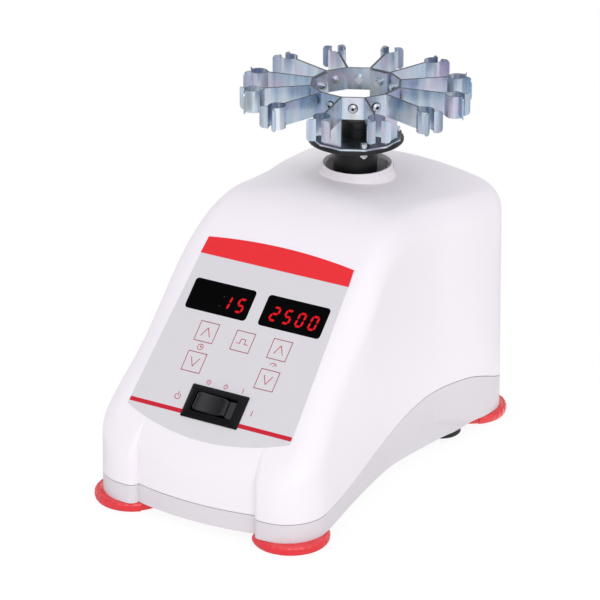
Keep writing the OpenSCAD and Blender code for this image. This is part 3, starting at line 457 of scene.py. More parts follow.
BODY_X, WAIST_X, END_Y = 97.5, 78, 165  # half widths at the shoulders and the waist, half length
BOW_X, BOW_R, BOW_Y = 53.5, 230, 65.3  # the bowed front: half width, radius, centre
FRONT_R, REAR_R = 33, 31
bow_x = np.linspace(0, BOW_X, 19)
bowed = np.stack([bow_x, BOW_Y - np.sqrt(BOW_R ** 2 - bow_x ** 2)], 1)
depth = bowed[-1, 1] + END_Y
turn_in = np.radians(np.arange(10, 91, 10))
pillar = np.stack([BOW_X + depth * (1 - np.cos(turn_in)),
                   -END_Y + depth * (1 - np.sin(turn_in))], 1)
front_y, rear_y, rear_x = FRONT_R - END_Y, END_Y - REAR_R, BODY_X - REAR_R
one_side = np.vstack([
    bowed, pillar, arc(BODY_X - FRONT_R, front_y, FRONT_R, -90, 0, 24),
    bezier((BODY_X, front_y), (BODY_X, -116), (WAIST_X, -40.5), (WAIST_X, 37.5), 64),
    [(WAIST_X, 37.5)],
    bezier((WAIST_X, 37.5), (WAIST_X, 89.5), (BODY_X, 102), (BODY_X, rear_y), 34),
    arc(rear_x, rear_y, REAR_R, 0, 90, 24),
    np.stack([np.linspace(rear_x, 0, 23)[1:], np.full(22, float(END_Y))], 1)])
plan = np.vstack([one_side, (one_side[1:-1] * [-1, 1])[::-1]])
tangent = np.roll(plan, -1, 0) - np.roll(plan, 1, 0)
out = np.stack([tangent[:, 1], -tangent[:, 0]], 1) / np.linalg.norm(tangent, axis=1)[:, None]
out[(plan[:, 1] < 0) & (abs(plan[:, 0]) < BODY_X - FRONT_R)] = (0, -1)
print("plan:", len(plan), "points")

# %% [markdown]
# ## Housing
# The real housing is one injection-moulded shell. Here rings climb from the seam over the rounded
# edge, and the roof between them is filled with a fine even mesh that also carries the raised lip
# round the neck. A Solidify modifier gives the wall, and a Boolean cuts the holes for windows,
# keys, rocker and mains inlet, because those holes are hidden under the film and need no rounding.

# %% Mesh helpers


def new_object(name, vertices, faces, look):
    """A mesh object from places in millimetres."""
    mesh = bpy.data.meshes.new(name)
    mesh.from_pydata([tuple(float(c) * MM for c in v) for v in vertices], [],
                     [tuple(f) for f in faces])
    mesh.materials.append(look)
    obj = put(name, mesh)
    return obj


def settle(obj, crease=30):
    """Makes the modifiers' result the object's own mesh, and shades it."""
    bpy.context.view_layer.update()
    graph = bpy.context.evaluated_depsgraph_get()
    result = bpy.data.meshes.new_from_object(obj.evaluated_get(graph), depsgraph=graph)
    obj.modifiers.clear()
    obj.data = result
    shade(result, crease)


def face_out(obj):
    """Points all faces outwards."""
    bm = bmesh.new()
    bm.from_mesh(obj.data)
    bmesh.ops.recalc_face_normals(bm, faces=bm.faces)
    bm.to_mesh(obj.data)
    bm.free()


def thicken(obj, wall_mm):
    """Gives a skin its wall, on the inner side."""
    wall = obj.modifiers.new("wall", "SOLIDIFY")
    wall.thickness = wall_mm * MM
    wall.offset = -1


def shade(mesh, crease):
    """Smooth shading, but sharp over every edge that bends by more than crease degrees."""
    mesh.shade_smooth()
    mesh.set_sharp_from_angle(angle=math.radians(crease))


def ring_faces(first, n, rings, closed=False):
    """Quads between rings of n points that follow each other, and from the last to the first."""
    starts = [first + r * n for r in range(rings)] + [first] * closed
    return [(a + i, a + (i + 1) % n, b + (i + 1) % n, b + i)
            for a, b in zip(starts, starts[1:]) for i in range(n)]


print("mesh helpers ready")

# %% Housing shell
n = len(plan)
top = roof(plan[:, 0], plan[:, 1])
radius = edge_round(plan[:, 1])
DRAFT = 0.009  # the walls close in by 9 mm per metre above the lowest seam


def skin_ring(angle):
    """The ring of skin points where the edge's rounding has turned by angle degrees."""
    a = math.radians(angle)
    move = DRAFT * (top - SEAM_LOW) - lean(plan[:, 1]) + radius * (1 - math.cos(a))
    q = plan - out * move[:, None]
    return np.column_stack([q, roof(q[:, 0], q[:, 1]) - radius * (1 - math.sin(a))])


BREAK = 0.45  # the moulded edges along the seam are broken by this much, which draws it as a line
GAP = 0.3  # between housing and base
edge = np.column_stack([plan - out * BREAK, seam(plan[:, 1]) + GAP])
foot = np.column_stack([plan, seam(plan[:, 1]) + GAP + BREAK])
shoulder = skin_ring(0)
rings = [edge] + [foot + (shoulder - foot) * t for t in np.linspace(0, 1, 13)[:-1]]
rings += [skin_ring(a) for a in np.linspace(0, 90, 13)]
points = np.vstack(rings)
shell_faces = ring_faces(0, n, len(rings))
print("wall:", len(rings), "rings of", n, "points")

# %% The lip round the neck
NECK = (0.0, 78.0)
BORE_R, BEAD_R, BEAD_TOP = 25.5, 28, 222
ease = BEAD_R - BORE_R  # the lip's inner edge is rounded by this much
lip = [(BORE_R, 186.0)] + [(BORE_R, z) for z in np.linspace(190, 218, 8)]
lip += [(BEAD_R - ease * math.cos(a), BEAD_TOP - ease + ease * math.sin(a))
        for a in np.radians(np.arange(0, 90, 15))]
lip_rounds = 96
lip_angles = np.linspace(0, 2 * math.pi, lip_rounds, endpoint=False)


def round_neck(r):
    """A ring of places about the neck."""
    return [NECK[0] + r * np.cos(lip_angles), NECK[1] + r * np.sin(lip_angles)]


def lip_height(x, y):
    """The roof with the lip's bead round the neck, which meets the roof in a small fillet."""
    r = np.hypot(x - NECK[0], y - NECK[1])
    level = roof(x, y)
    bead = np.where(r < 40, BEAD_TOP - 14.5 * step(27.4, 31.3, r), level - 9)
    return soft_max(bead, level, 2.2)


print("lip:", len(lip), "rings of", lip_rounds, "points")

# %% Roof between the rim and the lip


def within(spots, outline):
    """Tells which spots lie inside a closed outline, by the edges crossed on the way right."""
    x, y = spots[:, None, 0], spots[:, None, 1]
    x0, y0 = outline[None, :, 0], outline[None, :, 1]
    x1, y1 = np.roll(x0, -1, 1), np.roll(y0, -1, 1)
    rise = np.where(y1 - y0 == 0, 1e-9, y1 - y0)
    crossed = ((y0 > y) != (y1 > y)) & (x < (x1 - x0) * (y - y0) / rise + x0)
    return crossed.sum(1) % 2 == 1


rim = points[-n:, :2]
grid_x, grid_y = np.meshgrid(np.arange(-96, 96.1, 3.0), np.arange(-162, 162.1, 3.0))
grid = np.stack([grid_x.ravel(), grid_y.ravel()], 1)
near_rim = np.min(np.linalg.norm(grid[:, None] - rim[None], axis=2), axis=1)
far_from_neck = np.hypot(grid[:, 0] - NECK[0], grid[:, 1] - NECK[1]) > 49
grid = grid[within(grid, rim) & (near_rim > 1.8) & far_from_neck]
collar = [np.stack(round_neck(r), 1) for r in (BEAD_R, 28.4, 28.8, 29.2, 29.6, 30, 30.4, 30.8, 31.3,
                                               32, 33, 34.5, 37, 40.5, 44, 47.5)]
flat = np.vstack([rim, *collar, grid])
fixed = [(i, (i + 1) % n) for i in range(n)]
fixed += [(n + i, n + (i + 1) % lip_rounds) for i in range(lip_rounds)]
fill = delaunay_2d_cdt([Vector(p) for p in flat.tolist()], fixed, [], 1, 1e-6)[2]
centre = np.array([flat[list(f)].mean(0) for f in fill])
keep = np.hypot(centre[:, 0] - NECK[0], centre[:, 1] - NECK[1]) > BEAD_R - 0.1
fill = [f for f, k in zip(fill, keep) if k]
collar_start = len(points)
points = np.vstack([points, np.column_stack([flat[n:], lip_height(flat[n:, 0], flat[n:, 1])])])
# The rim's own points are the last ring, so one shift serves the rim and the new points
shell_faces += [tuple(i + collar_start - n for i in f) for f in fill]
inner = [np.column_stack([*round_neck(r), np.full(lip_rounds, z)]) for r, z in reversed(lip)]
first = len(points)
points = np.vstack([points, *inner])
shell_faces += [tuple(reversed(f)) for f in ring_faces(first, lip_rounds, len(inner))]
shell_faces += [(collar_start + i, first + i, first + (i + 1) % lip_rounds,
                 collar_start + (i + 1) % lip_rounds) for i in range(lip_rounds)]
housing = new_object("housing_shell", points, shell_faces, looks["housing_white"])
# The skin is open below, so its faces may agree on the wrong side: the roof has to look up
bm = bmesh.new()
bm.from_mesh(housing.data)
bmesh.ops.recalc_face_normals(bm, faces=bm.faces)
if sum(f.normal.z * f.calc_area() for f in bm.faces) < 0:
    bmesh.ops.reverse_faces(bm, faces=bm.faces)
bm.to_mesh(housing.data)
bm.free()
thicken(housing, 3.5)
print("housing:", len(points), "points,", len(shell_faces), "faces")

# %% Holes in the housing
PANEL = Matrix.Translation(Vector((0, PANEL_Y, PANEL_Z)) * MM) @ Matrix.Rotation(PANEL_TILT, 4, "X")
cutters = bmesh.new()


def cut_box(place, size, frame_matrix=PANEL):
    """Adds a box to the cutters, in panel millimetres unless another frame is given."""
    made = bmesh.ops.create_cube(cutters, size=1.0)
    box = Matrix.Translation(Vector(place) * MM) @ Matrix.Diagonal((*[s * MM for s in size], 1))
    bmesh.ops.transform(cutters, matrix=frame_matrix @ box, verts=made["verts"])


key_places = {"key_time_up": (-33, -2.8), "key_time_down": (-33, -28.6),
              "key_speed_up": (33, -2.8), "key_speed_down": (33, -28.6), "key_pulse": (0, -3.4)}
for kx, ky in key_places.values():
    cut_box((kx, ky, 1.3), (17.1, 17.1, 4))
    cut_box((kx, ky, -4), (6, 6, 6.8))
for window_x in (-33.25, 33.25):
    cut_box((window_x, 26, -4), (51.5, 20.2, 20))
SWITCH_Y = -59.2
cut_box((0, SWITCH_Y, -4), (43.8, 21.8, 20))
cut_box((45, END_Y, 66), (28, 30, 20.8), Matrix.Identity(4))  # the mains inlet
cutter_mesh = bpy.data.meshes.new("housing_cutters")
bmesh.ops.recalc_face_normals(cutters, faces=cutters.faces)
cutters.to_mesh(cutter_mesh)
cutters.free()
cutter = put("housing_cutters", cutter_mesh)
cut = housing.modifiers.new("holes", "BOOLEAN")
cut.operation, cut.object, cut.solver = "DIFFERENCE", cutter, "EXACT"
settle(housing)
bpy.data.objects.remove(cutter)
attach(housing, "base")
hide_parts("upper_housing")
print("housing shell:", len(housing.data.polygons), "faces")

# %% [markdown]
# ## Lower base
# The base is a grey tray. Its wall climbs to the seam, and at the waist a sloped ledge runs out
# from under the arch. The tray's wall and floor come from one Solidify modifier again. Posts and
# foot bosses inside it are plain rounds.

# %% Lower base
# The ledge stands out by up to 6.8 mm, and its top climbs by up to 11 mm, on the flanks only
flank = step(60, 70, abs(plan[:, 0]))
jut = 6.8 * step(-12, 60, plan[:, 1]) * (1 - step(78, 112, plan[:, 1])) * flank
ledge_top = 8.8 + 11 * step(-12, 52, plan[:, 1]) * (1 - step(60, 108, plan[:, 1])) * flank
TRAY_Z = 8.0  # the underside
tray_rings = [np.column_stack([plan + out * jut[:, None], np.full(n, TRAY_Z)]),
              np.column_stack([plan, ledge_top]),
              np.column_stack([plan, seam(plan[:, 1]) - BREAK]),
              np.column_stack([plan - out * BREAK, seam(plan[:, 1])])]
tray_faces = ring_faces(0, n, 4) + [tuple(range(n - 1, -1, -1))]
tray = new_object("base_tray", np.vstack(tray_rings), tray_faces, looks["base_grey"])
thicken(tray, 3.2)
settle(tray)
FOOT_X, FOOT_Y = 71.9, 138.5
bm = bmesh.new()
bm.from_mesh(tray.data)
# Posts of the power board, then foot bosses: x and y, radius, height, height of the middle, steps
for places_x, places_y, r, tall, middle, steps in (
        ((-48, 48), (-112, -24), 4, 9, 15.4, 24),
        ((-FOOT_X, FOOT_X), (-FOOT_Y, FOOT_Y), 7, 8, 14.9, 32)):
    for px in places_x:
        for py in places_y:
            bmesh.ops.create_cone(bm, cap_ends=True, segments=steps, radius1=r * MM,
                                  radius2=r * MM, depth=tall * MM,
                                  matrix=Matrix.Translation(Vector((px, py, middle)) * MM))
bm.to_mesh(tray.data)
bm.free()
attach(tray, "base")
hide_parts("lower_base")
print("base tray:", len(tray.data.polygons), "faces")

# %% [markdown]
# ## Feet
# Each corner stands on a soft red foot. Its outer half is a thicker bumper with shallow scallops,
# and its inner half, under the body, is slimmer. One foot is turned on a lathe in code, with a
# radius that changes round the circle. A small node tree then sets four of them at the corners of
# a grid and turns each one so that its bumper faces away from the body.

# %% One foot
FOOT_R, SLIM_R, FOOT_TOP = 30.2, 28.3, 7.95
SCALLOPS, SCALLOP_DEEP = 15, 0.45
foot_profile = [(-2.4, 0), (-1.0, 0.35), (-0.25, 1.5), (0, 3.2), (0, 5.2), (-0.35, 6.6),
                (-1.2, 7.5), (-2.4, 7.75), (-3.2, 7.4), (-4.0, FOOT_TOP)]
foot_turns = np.radians(np.arange(0, 360, 1.5))
bumper = np.cos(foot_turns) > -0.001
foot_rings = []
for dr, z in foot_profile:
    scallop = SCALLOP_DEEP * np.abs(np.sin(foot_turns * SCALLOPS)) ** 1.5 * min(1, z / 3)
    r = np.where(bumper, FOOT_R - SCALLOP_DEEP + scallop, SLIM_R) + dr
    foot_rings.append(np.column_stack([r * np.cos(foot_turns), r * np.sin(foot_turns),
                                       np.full(len(r), z)]))
m = len(foot_turns)
foot_points = np.vstack([*foot_rings, [(0, 0, 0), (0, 0, FOOT_TOP)]])
foot_faces = ring_faces(0, m, len(foot_rings))
sole, crown = len(foot_points) - 2, len(foot_points) - 1
foot_faces += [((i + 1) % m, i, sole) for i in range(m)]
foot_faces += [(sole - m + i, sole - m + (i + 1) % m, crown) for i in range(m)]
feet = new_object("feet", foot_points, foot_faces, looks["foot_red"])
print("foot:", len(foot_faces), "faces")

# %% Four feet from a grid
feet_tree = bpy.data.node_groups.new("feet_at_corners", "GeometryNodeTree")
socket(feet_tree, "One foot", "Geometry")
socket(feet_tree, "Pitch across", "Float", 2 * FOOT_X * MM)
socket(feet_tree, "Pitch along", "Float", 2 * FOOT_Y * MM)
dye = socket(feet_tree, "Finish", "Material")
socket(feet_tree, "Feet", "Geometry", way="OUTPUT")
start = add(feet_tree, "NodeGroupInput")
given = {s.name: s for s in start.outputs}
corners = add(feet_tree, "GeometryNodeMeshGrid", {
    "Size X": given["Pitch across"], "Size Y": given["Pitch along"],
    "Vertices X": 2, "Vertices Y": 2})
position = add(feet_tree, "GeometryNodeInputPosition").outputs[0]
spot = add(feet_tree, "ShaderNodeSeparateXYZ", {0: position}).outputs
outward = calc(feet_tree, "ARCTAN2", calc(feet_tree, "SIGN", spot["Y"]),
               calc(feet_tree, "SIGN", spot["X"]))
turn_z = add(feet_tree, "ShaderNodeCombineXYZ", {"Z": outward})
set_down = add(feet_tree, "GeometryNodeInstanceOnPoints", {
    "Points": corners.outputs[0], "Instance": given["One foot"], "Rotation": turn_z.outputs[0]})
whole = add(feet_tree, "GeometryNodeRealizeInstances", {"Geometry": set_down.outputs[0]})
dyed = add(feet_tree, "GeometryNodeSetMaterial",
           {"Geometry": whole.outputs[0], "Material": given["Finish"]})
add(feet_tree, "NodeGroupOutput", {0: dyed.outputs[0]})
maker = feet.modifiers.new("feet at corners", "NODES")
maker.node_group = feet_tree
maker[dye] = looks["foot_red"]
settle(feet, 40)
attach(feet, "base")
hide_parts("foot_front_left", "foot_front_right", "foot_rear_left", "foot_rear_right")
print("feet:", len(feet.data.polygons), "faces")

# %% [markdown]
# ## Rubber inside
# Two soft parts work out of sight. Four small mounts carry the motor plate, and a boot closes the
# neck round the post. Both are rubber mouldings, so they are turned from a soft profile. The real
# boot grips the post and flexes with it. This one keeps clear of the post's small orbit.

# %% Boot and mounts


def lathe(name, profile, centre, look, steps=64):
    """Turns a closed profile of (radius, height) about an upright axis through centre."""
    angles = np.linspace(0, 2 * math.pi, steps, endpoint=False)
    points, faces = [], []
    for cx, cy in centre:
        first = len(points)
        for r, z in profile:
            points += [(cx + r * math.cos(a), cy + r * math.sin(a), z) for a in angles]
        faces += ring_faces(first, steps, len(profile), closed=True)
    obj = new_object(name, points, faces, look)
    face_out(obj)
    shade(obj.data, 50)
    return obj


boot = lathe("boot", [(31, 183.3), (31, 185.7), (24.8, 185.7), (24.6, 184), (22, 178), (24.2, 172),
                      (22.4, 167), (20.2, 163), (20.2, 160.5), (22.2, 160.5), (24.2, 166),
                      (26.4, 172), (24.2, 178), (26.2, 183.3)],
             [NECK], looks["rubber_black"])
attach(boot, "base")
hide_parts("neck_boot")
MOUNT_LOW, MOUNT_TALL, MOUNT_BORE = 86.1, 13.8, 5.3
waist = [(10.3 - 1.6 * math.sin(math.pi * i / 12), MOUNT_LOW + MOUNT_TALL * i / 12)
         for i in range(13)]
mounts = lathe("plate_mounts", [(MOUNT_BORE, MOUNT_LOW)] + waist + [(MOUNT_BORE, 99.9)],
               [(x, NECK[1] + y) for x in (-52, 52) for y in (-34, 34)],
               looks["rubber_black"], 40)
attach(mounts, "base")
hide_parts("rubber_mounts")
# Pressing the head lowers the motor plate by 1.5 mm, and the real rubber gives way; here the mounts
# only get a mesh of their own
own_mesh(mounts)
print("boot and mounts turned")

# %% [markdown]
# ## Rocker switch
# A black frame sits on the film, with its outer edge cut back at an angle. In its well lies the
# rocker. Its long left wing stands up with a hollowed top and its right end is pressed in. Both
# are lofted, which means that outlines are joined by faces. The frame's outlines are rectangles
# with round corners, one above the other. The rocker's stand side by side along the switch.

# %% Frame and rocker


def rounded(w, h, r, k=6):
    """Outline of a rectangle with round corners, anticlockwise."""
    ring = []
    for sx, sy, a0 in ((1, 1, 0), (-1, 1, 90), (-1, -1, 180), (1, -1, 270)):
        ring += [(sx * (w / 2 - r) + r * math.cos(a), sy * (h / 2 - r) + r * math.sin(a))
                 for a in np.radians(np.linspace(a0, a0 + 90, k))]
    return ring


def loft(name, rings, look, closed=False, crease=30):
    """Joins outlines of as many points, in panel millimetres, and closes the ends or the loop."""
    k = len(rings[0])
    points = [p for ring in rings for p in ring]
    faces = ring_faces(0, k, len(rings), closed)
    if not closed:
        faces += [tuple(range(k - 1, -1, -1)), tuple(range(len(points) - k, len(points)))]
    obj = new_object(name, points, faces, look)
    obj.data.transform(PANEL)
    face_out(obj)
    shade(obj.data, crease)
    return obj


# Each outline: its width, its height on the panel, its corner radius, and how high it stands
frame_rings = [(51, 27.5, 0.9, 0.52), (51, 27.5, 0.9, 1.1), (50.5, 27, 0.9, 1.4),
               (41, 20.2, 1.6, 3.3), (37.2, 17.2, 1.6, 3.3), (36.4, 16.4, 1.4, 2.8),
               (36.2, 16.2, 1.3, -9), (42.6, 20.6, 0.9, -9), (42.6, 20.6, 0.9, 0.52)]
bezel = loft("rocker_frame", [[(x, SWITCH_Y + y, z) for x, y in rounded(w, h, r)]
                              for w, h, r, z in frame_rings],
             looks["switch_black"], closed=True)
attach(bezel, "base")
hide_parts("rocker_bezel")

# Each column: its place along the switch, its height, and half its width. The outline across it
# has shares of that half width, and drops from the column's height.
wing = [(-17.3, -3.5, 7.3), (-17.25, 0.5, 6.4), (-16.8, 3.2, 6.2), (-16, 4.6, 6.7),
        (-14.8, 5.3, 7.3), (-13.2, 5.5, 7.6), (-11, 4.9, 7.7), (-7, 4.0, 7.7), (-3, 3.4, 7.7),
        (1, 3.2, 7.7), (4.5, 3.4, 7.6), (7.4, 3.8, 7.3), (9.2, 4.0, 6.8), (10.4, 3.8, 6.2),
        (11.2, 3.0, 6.4), (12, 1.4, 7.2), (13.4, 0.4, 7.7), (17.2, -0.5, 7.7), (17.3, -3.5, 7.7)]
across = [(-1, -1.6), (-1, -0.9), (-0.968, -0.35), (-0.9, -0.05), (-0.77, 0), (0, -0.35),
          (0.77, 0), (0.9, -0.05), (0.968, -0.35), (1, -0.9), (1, -1.6)]
WING_Y, WING_LOW = 7.7, -6  # the rocker's half width and lowest edge
columns = [[(wx, SWITCH_Y + half * share, wz + drop) for share, drop in across]
           + [(wx, SWITCH_Y + WING_Y, WING_LOW), (wx, SWITCH_Y - WING_Y, WING_LOW)]
           for wx, wz, half in wing]
cap_black = finish("polished nylon, black", "#141419", "#0E0E13", 0.26, 10, 0.9, 0.006,
                   specular=0.38)
rocker = loft("rocker_cap", columns, cap_black, crease=24)
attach(rocker, "rocker_body")
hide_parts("rocker")
print("frame and rocker lofted")

# %% [markdown]
# ## Printing on the film
# The overlay is printed in three reds: a signal red for the band, a deeper one for the line, and
# crimson for the fine drawings. Ink has hardly any thickness, so each print is a very thin slab
# that lies on the film. Slabs are drawn as outlines on the panel and then lifted to its slope.

# %% Inks and the slab helper
red_ink, crimson_ink, line_ink = (
    finish("screen ink, " + name, colour, other, 0.42, 40, 0.7, 0.004, specular=0.25)
    for name, colour, other in (("signal red", "#EC2831", "#E8242D"),
                                ("crimson", "#B81540", "#B2123C"),
                                ("deep red", "#CC1730", "#C8142D")))
INK = 0.06  # how thick a print is
FILM = 0.5  # the film's face, above the panel's origin


def slabs(name, outlines, look, low=FILM, thick=INK):
    """Thin slabs on the panel from closed outlines in panel millimetres."""
    points, faces = [], []
    for outline in outlines:
        first, k = len(points), len(outline)
        points += [(x, y, low) for x, y in outline] + [(x, y, low + thick) for x, y in outline]
        faces.append([first + i for i in range(k - 1, -1, -1)])
        faces.append([first + k + i for i in range(k)])
        faces += ring_faces(first, k, 2)
    obj = new_object(name, points, faces, look)
    obj.data.transform(PANEL)
    face_out(obj)
    return obj


band_top = [(65.9 * v, 78.5 - 4.6 * v * v) for v in np.linspace(-1, 1, 25)[::-1]]
band = slabs("red_band", [[(-67.0, 59.5), (67.0, 59.5)] + band_top], red_ink)
print("red band drawn")

# %% Line and symbols
LINE_LOW, LINE_HIGH, LINE_IN = -71, -67.5, 25.6
# The film widens from 65.9 mm at its top to 73.3 mm, on each side, and the line ends 0.1 mm short
line_out = 65.9 + (74 - LINE_HIGH) / 147.5 * 7.4 - 0.1
line = slabs("red_line", [
    [(-line_out, LINE_LOW), (-LINE_IN, LINE_LOW), (-LINE_IN, LINE_HIGH), (-line_out, LINE_HIGH)],
    [(LINE_IN, LINE_LOW), (line_out, LINE_LOW), (line_out, LINE_HIGH), (LINE_IN, LINE_HIGH)]],
    line_ink)


def stroke(a, b, w=0.6):
    """A straight pen stroke as a four-cornered outline."""
    a, b = np.array(a, float), np.array(b, float)
    d = (b - a) / np.linalg.norm(b - a) * w / 2
    s = np.array([-d[1], d[0]])
    return [tuple(a - d - s), tuple(b + d - s), tuple(b + d + s), tuple(a - d + s)]


def round_stroke(cx, cy, r, a0, a1, w=0.6, k=14):
    """A pen stroke along an arc."""
    a = np.radians(np.linspace(a0, a1, k))
    outer = [(cx + (r + w / 2) * math.cos(v), cy + (r + w / 2) * math.sin(v)) for v in a]
    inner = [(cx + (r - w / 2) * math.cos(v), cy + (r - w / 2) * math.sin(v)) for v in a[::-1]]
    return outer + inner


# Beside the rocker: a ring and bar on its left, a bar on its right
marks = [round_stroke(-34.4, -58.4, 2.3, 125, 415), stroke((-34.4, -57.6), (-34.4, -54.6)),
         stroke((32.2, -55.3), (32.2, -59.3))]
# A clock under the time keys and a dial under the speed keys stand for the two settings
marks += [round_stroke(-33, -15.7, 2.4, 0, 359, 0.5, 30), stroke((-33, -15.9), (-33, -14.2), 0.5),
          stroke((-33.1, -15.7), (-31.8, -15.7), 0.5)]
marks += [round_stroke(33, -17.2, 3.0, 15, 165, 0.5, 16), stroke((33, -16.9), (34.4, -14.9), 0.5)]
# Over the rocker: a ring with a dot for touch, a ring and bar for standby, a bar for on
marks += [round_stroke(-13.5, -41.6, 1.7, 0, 359, 0.5, 24),
          round_stroke(-13.5, -41.6, 0.25, 0, 359, 0.5, 10),
          round_stroke(2, -41.9, 1.6, 125, 415, 0.5), stroke((2, -41.5), (2, -39.4), 0.5),
          stroke((17.5, -39.9), (17.5, -43.3), 0.5)]
symbols = slabs("film_symbols", marks, crimson_ink)
for piece in (band, line, symbols):
    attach(piece, "base")
# The middle key shows one square pulse
wave = [(-5, -1.9), (-2.1, -1.9), (-2.1, 1.9), (2.1, 1.9), (2.1, -1.9), (5, -1.9)]
pulse_y = key_places["key_pulse"][1]
pulse_mark = slabs("pulse_mark", [stroke((ax, ay + pulse_y), (bx, by + pulse_y), 0.55)
                                  for (ax, ay), (bx, by) in zip(wave, wave[1:])],
                   crimson_ink)
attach(pulse_mark, "key_pulse_body")
print(len(marks), "strokes of symbols")

# %% [markdown]
# ## Key drawings
# Five keys carry the same square outline, and four of them an arrow head. What repeats with small
# changes suits a node tree: its inputs are the square's side, the pen's width, the size of the
# arrow head, the way it points, and whether there is one. Each key moves by itself, so each gets
# its own mesh.

# %% Key drawing tree
key_tree = bpy.data.node_groups.new("key_drawing", "GeometryNodeTree")
socket(key_tree, "Mesh", "Geometry")
ids = {label: socket(key_tree, label, "Float", value) for label, value in (
    ("Side", 16.2 * MM), ("Pen", 0.6 * MM), ("Arrow height", 7.4 * MM), ("Arrow width", 7.8 * MM),
    ("Points up", 1.0), ("Ink", INK * MM))}
for label, kind in (("Place", "Vector"), ("Turn", "Vector"), ("Finish", "Material"),
                    ("With arrow", "Bool")):
    ids[label] = socket(key_tree, label, kind)
socket(key_tree, "Mesh", "Geometry", way="OUTPUT")
start = add(key_tree, "NodeGroupInput")
given = {s.name: s for s in start.outputs}
square = add(key_tree, "GeometryNodeCurvePrimitiveQuadrilateral",
             {"Width": given["Side"], "Height": given["Side"]})
half_w = calc(key_tree, "MULTIPLY", given["Arrow width"], 0.5)
half_h = calc(key_tree, "MULTIPLY", given["Arrow height"], 0.5)
up = calc(key_tree, "MULTIPLY", half_h, given["Points up"])
down = calc(key_tree, "MULTIPLY", up, -1.0)
tip = add(key_tree, "ShaderNodeCombineXYZ", {"Y": up})
arms = []
for end_x in (calc(key_tree, "MULTIPLY", half_w, -1.0), half_w):
    end = add(key_tree, "ShaderNodeCombineXYZ", {"X": end_x, "Y": down})
    arms.append(add(key_tree, "GeometryNodeCurvePrimitiveLine",
                    {"Start": end.outputs[0], "End": tip.outputs[0]}))
arrow = add(key_tree, "GeometryNodeJoinGeometry")
for source in arms:
    key_tree.links.new(source.outputs[0], arrow.inputs[0])
shown = add(key_tree, "GeometryNodeSwitch",
            {"Switch": given["With arrow"], "True": arrow.outputs[0]}, input_type="GEOMETRY")
lines = add(key_tree, "GeometryNodeJoinGeometry")
for source in (square, shown):
    key_tree.links.new(source.outputs[0], lines.inputs[0])
pen = add(key_tree, "GeometryNodeCurvePrimitiveQuadrilateral",
          {"Width": given["Pen"], "Height": given["Ink"]})
drawn = add(key_tree, "GeometryNodeCurveToMesh", {
    "Curve": lines.outputs[0], "Profile Curve": pen.outputs[0], "Fill Caps": True})
placed = add(key_tree, "GeometryNodeTransform", {
    "Geometry": drawn.outputs[0], "Translation": given["Place"], "Rotation": given["Turn"]})
whole = add(key_tree, "GeometryNodeRealizeInstances", {"Geometry": placed.outputs[0]})
inked = add(key_tree, "GeometryNodeSetMaterial",
            {"Geometry": whole.outputs[0], "Material": given["Finish"]})
add(key_tree, "NodeGroupOutput", {0: inked.outputs[0]})
print("key tree:", len(key_tree.nodes), "nodes")

# %% Five drawings
for name, (kx, ky) in key_places.items():
    drawing = new_object(name + "_drawing", [(0, 0, 0)], [], crimson_ink)
    maker = drawing.modifiers.new("key drawing", "NODES")
    maker.node_group = key_tree
    maker[ids["Points up"]] = -1.0 if name.endswith("down") else 1.0
    maker[ids["With arrow"]] = name != "key_pulse"
    maker[ids["Place"]] = PANEL @ (Vector((kx, ky, FILM + 0.02)) * MM)
    maker[ids["Turn"]] = (PANEL_TILT, 0.0, 0.0)
    maker[ids["Finish"]] = crimson_ink
    settle(drawing)
    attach(drawing, name + "_body")
print(len(key_places), "keys drawn")

# %% [markdown]
# ## Lit digits
# The two LED modules show plain numbers: 15 minutes, and 2500 turns a minute. A seven-segment
# digit is seven slim bars on a leaning frame, and a number is a list of the bars that are lit. The
# bars lie on the smoked window and give their own red light.

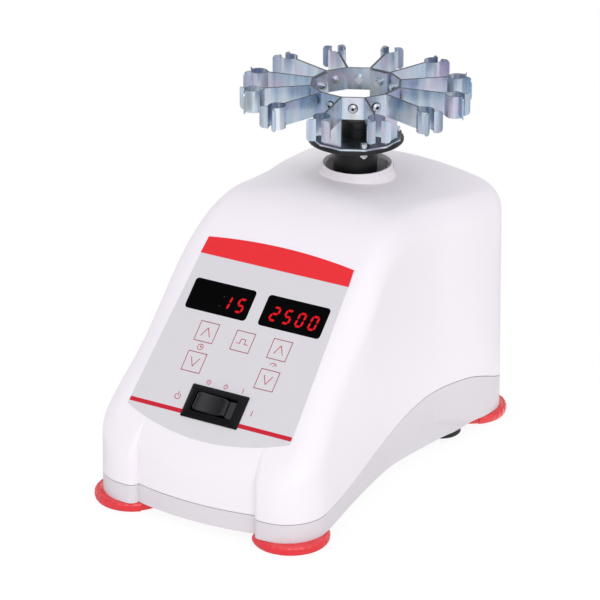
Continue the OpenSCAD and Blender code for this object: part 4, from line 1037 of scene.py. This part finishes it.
# %% Digits
lit, tree = blank("lit LED segment")
place = add(tree, "ShaderNodeTexCoord").outputs["Object"]
tint = blend(tree, noise(tree, place, 900.0), paint("#D90F1B"), paint("#EE2530"))
segment_skin = add(tree, "ShaderNodeBsdfPrincipled", {
    "Base Color": paint("#200203"), "Roughness": 0.3, "Specular IOR Level": 0.0,
    "Emission Color": tint, "Emission Strength": 1.0})
add(tree, "ShaderNodeOutputMaterial", {"Surface": segment_skin.outputs[0]})

SEGMENTS = {"0": "abcdef", "1": "bc", "2": "abged", "5": "afgcd"}
BARS = {"a": ((-1, 1), (1, 1)), "b": ((1, 1), (1, 0)), "c": ((1, 0), (1, -1)),
        "d": ((-1, -1), (1, -1)), "e": ((-1, 0), (-1, -1)), "f": ((-1, 1), (-1, 0)),
        "g": ((-1, 0), (1, 0))}


def digit(char, cx, cy, w=5.3, h=10.9, bar=1.75, gap=0.3, slant=0.1):
    """Outlines of the lit bars of one character, centred at cx, cy."""
    shapes = []
    for key in SEGMENTS[char]:
        (x0, y0), (x1, y1) = BARS[key]
        a = np.array([x0 * w / 2, y0 * h / 2])
        b = np.array([x1 * w / 2, y1 * h / 2])
        d = (b - a) / np.linalg.norm(b - a)
        s = np.array([-d[1], d[0]])
        a, b = a + d * gap, b - d * gap
        tip = bar / 2
        outline = [a, a + d * tip - s * tip, b - d * tip - s * tip,
                   b, b - d * tip + s * tip, a + d * tip + s * tip]
        shapes.append([(cx + p[0] + slant * p[1], cy + p[1]) for p in outline])
    return shapes


bars = []
for char, cx in (("1", -27.0), ("5", -14.4)):
    bars += digit(char, cx, 24.4)
for i, char in enumerate("2500"):
    bars += digit(char, 16.6 + 11.55 * i, 24.5)
DOT_R = 0.5
dots = [[(cx + DOT_R * math.cos(a), cy + DOT_R * math.sin(a))
         for a in np.linspace(0, 2 * math.pi, 9)[:-1]]
        for cx, cy in ((-31.1, 28.5), (-32.0, 20.3))]
WINDOW, GLOW = FILM + 0.02, 0.05  # the face that the bars lie on, and their thickness
digits = slabs("lit_digits", bars, lit, WINDOW, GLOW)
unlit = finish("unlit LED dot", "#4A1A20", "#3C1318", 0.4, 4, 1, 0.001)
colon = slabs("colon_dots", dots, unlit, WINDOW, GLOW)
for piece in (digits, colon):
    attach(piece, "base")
print(len(bars), "lit bars,", len(dots), "dots")
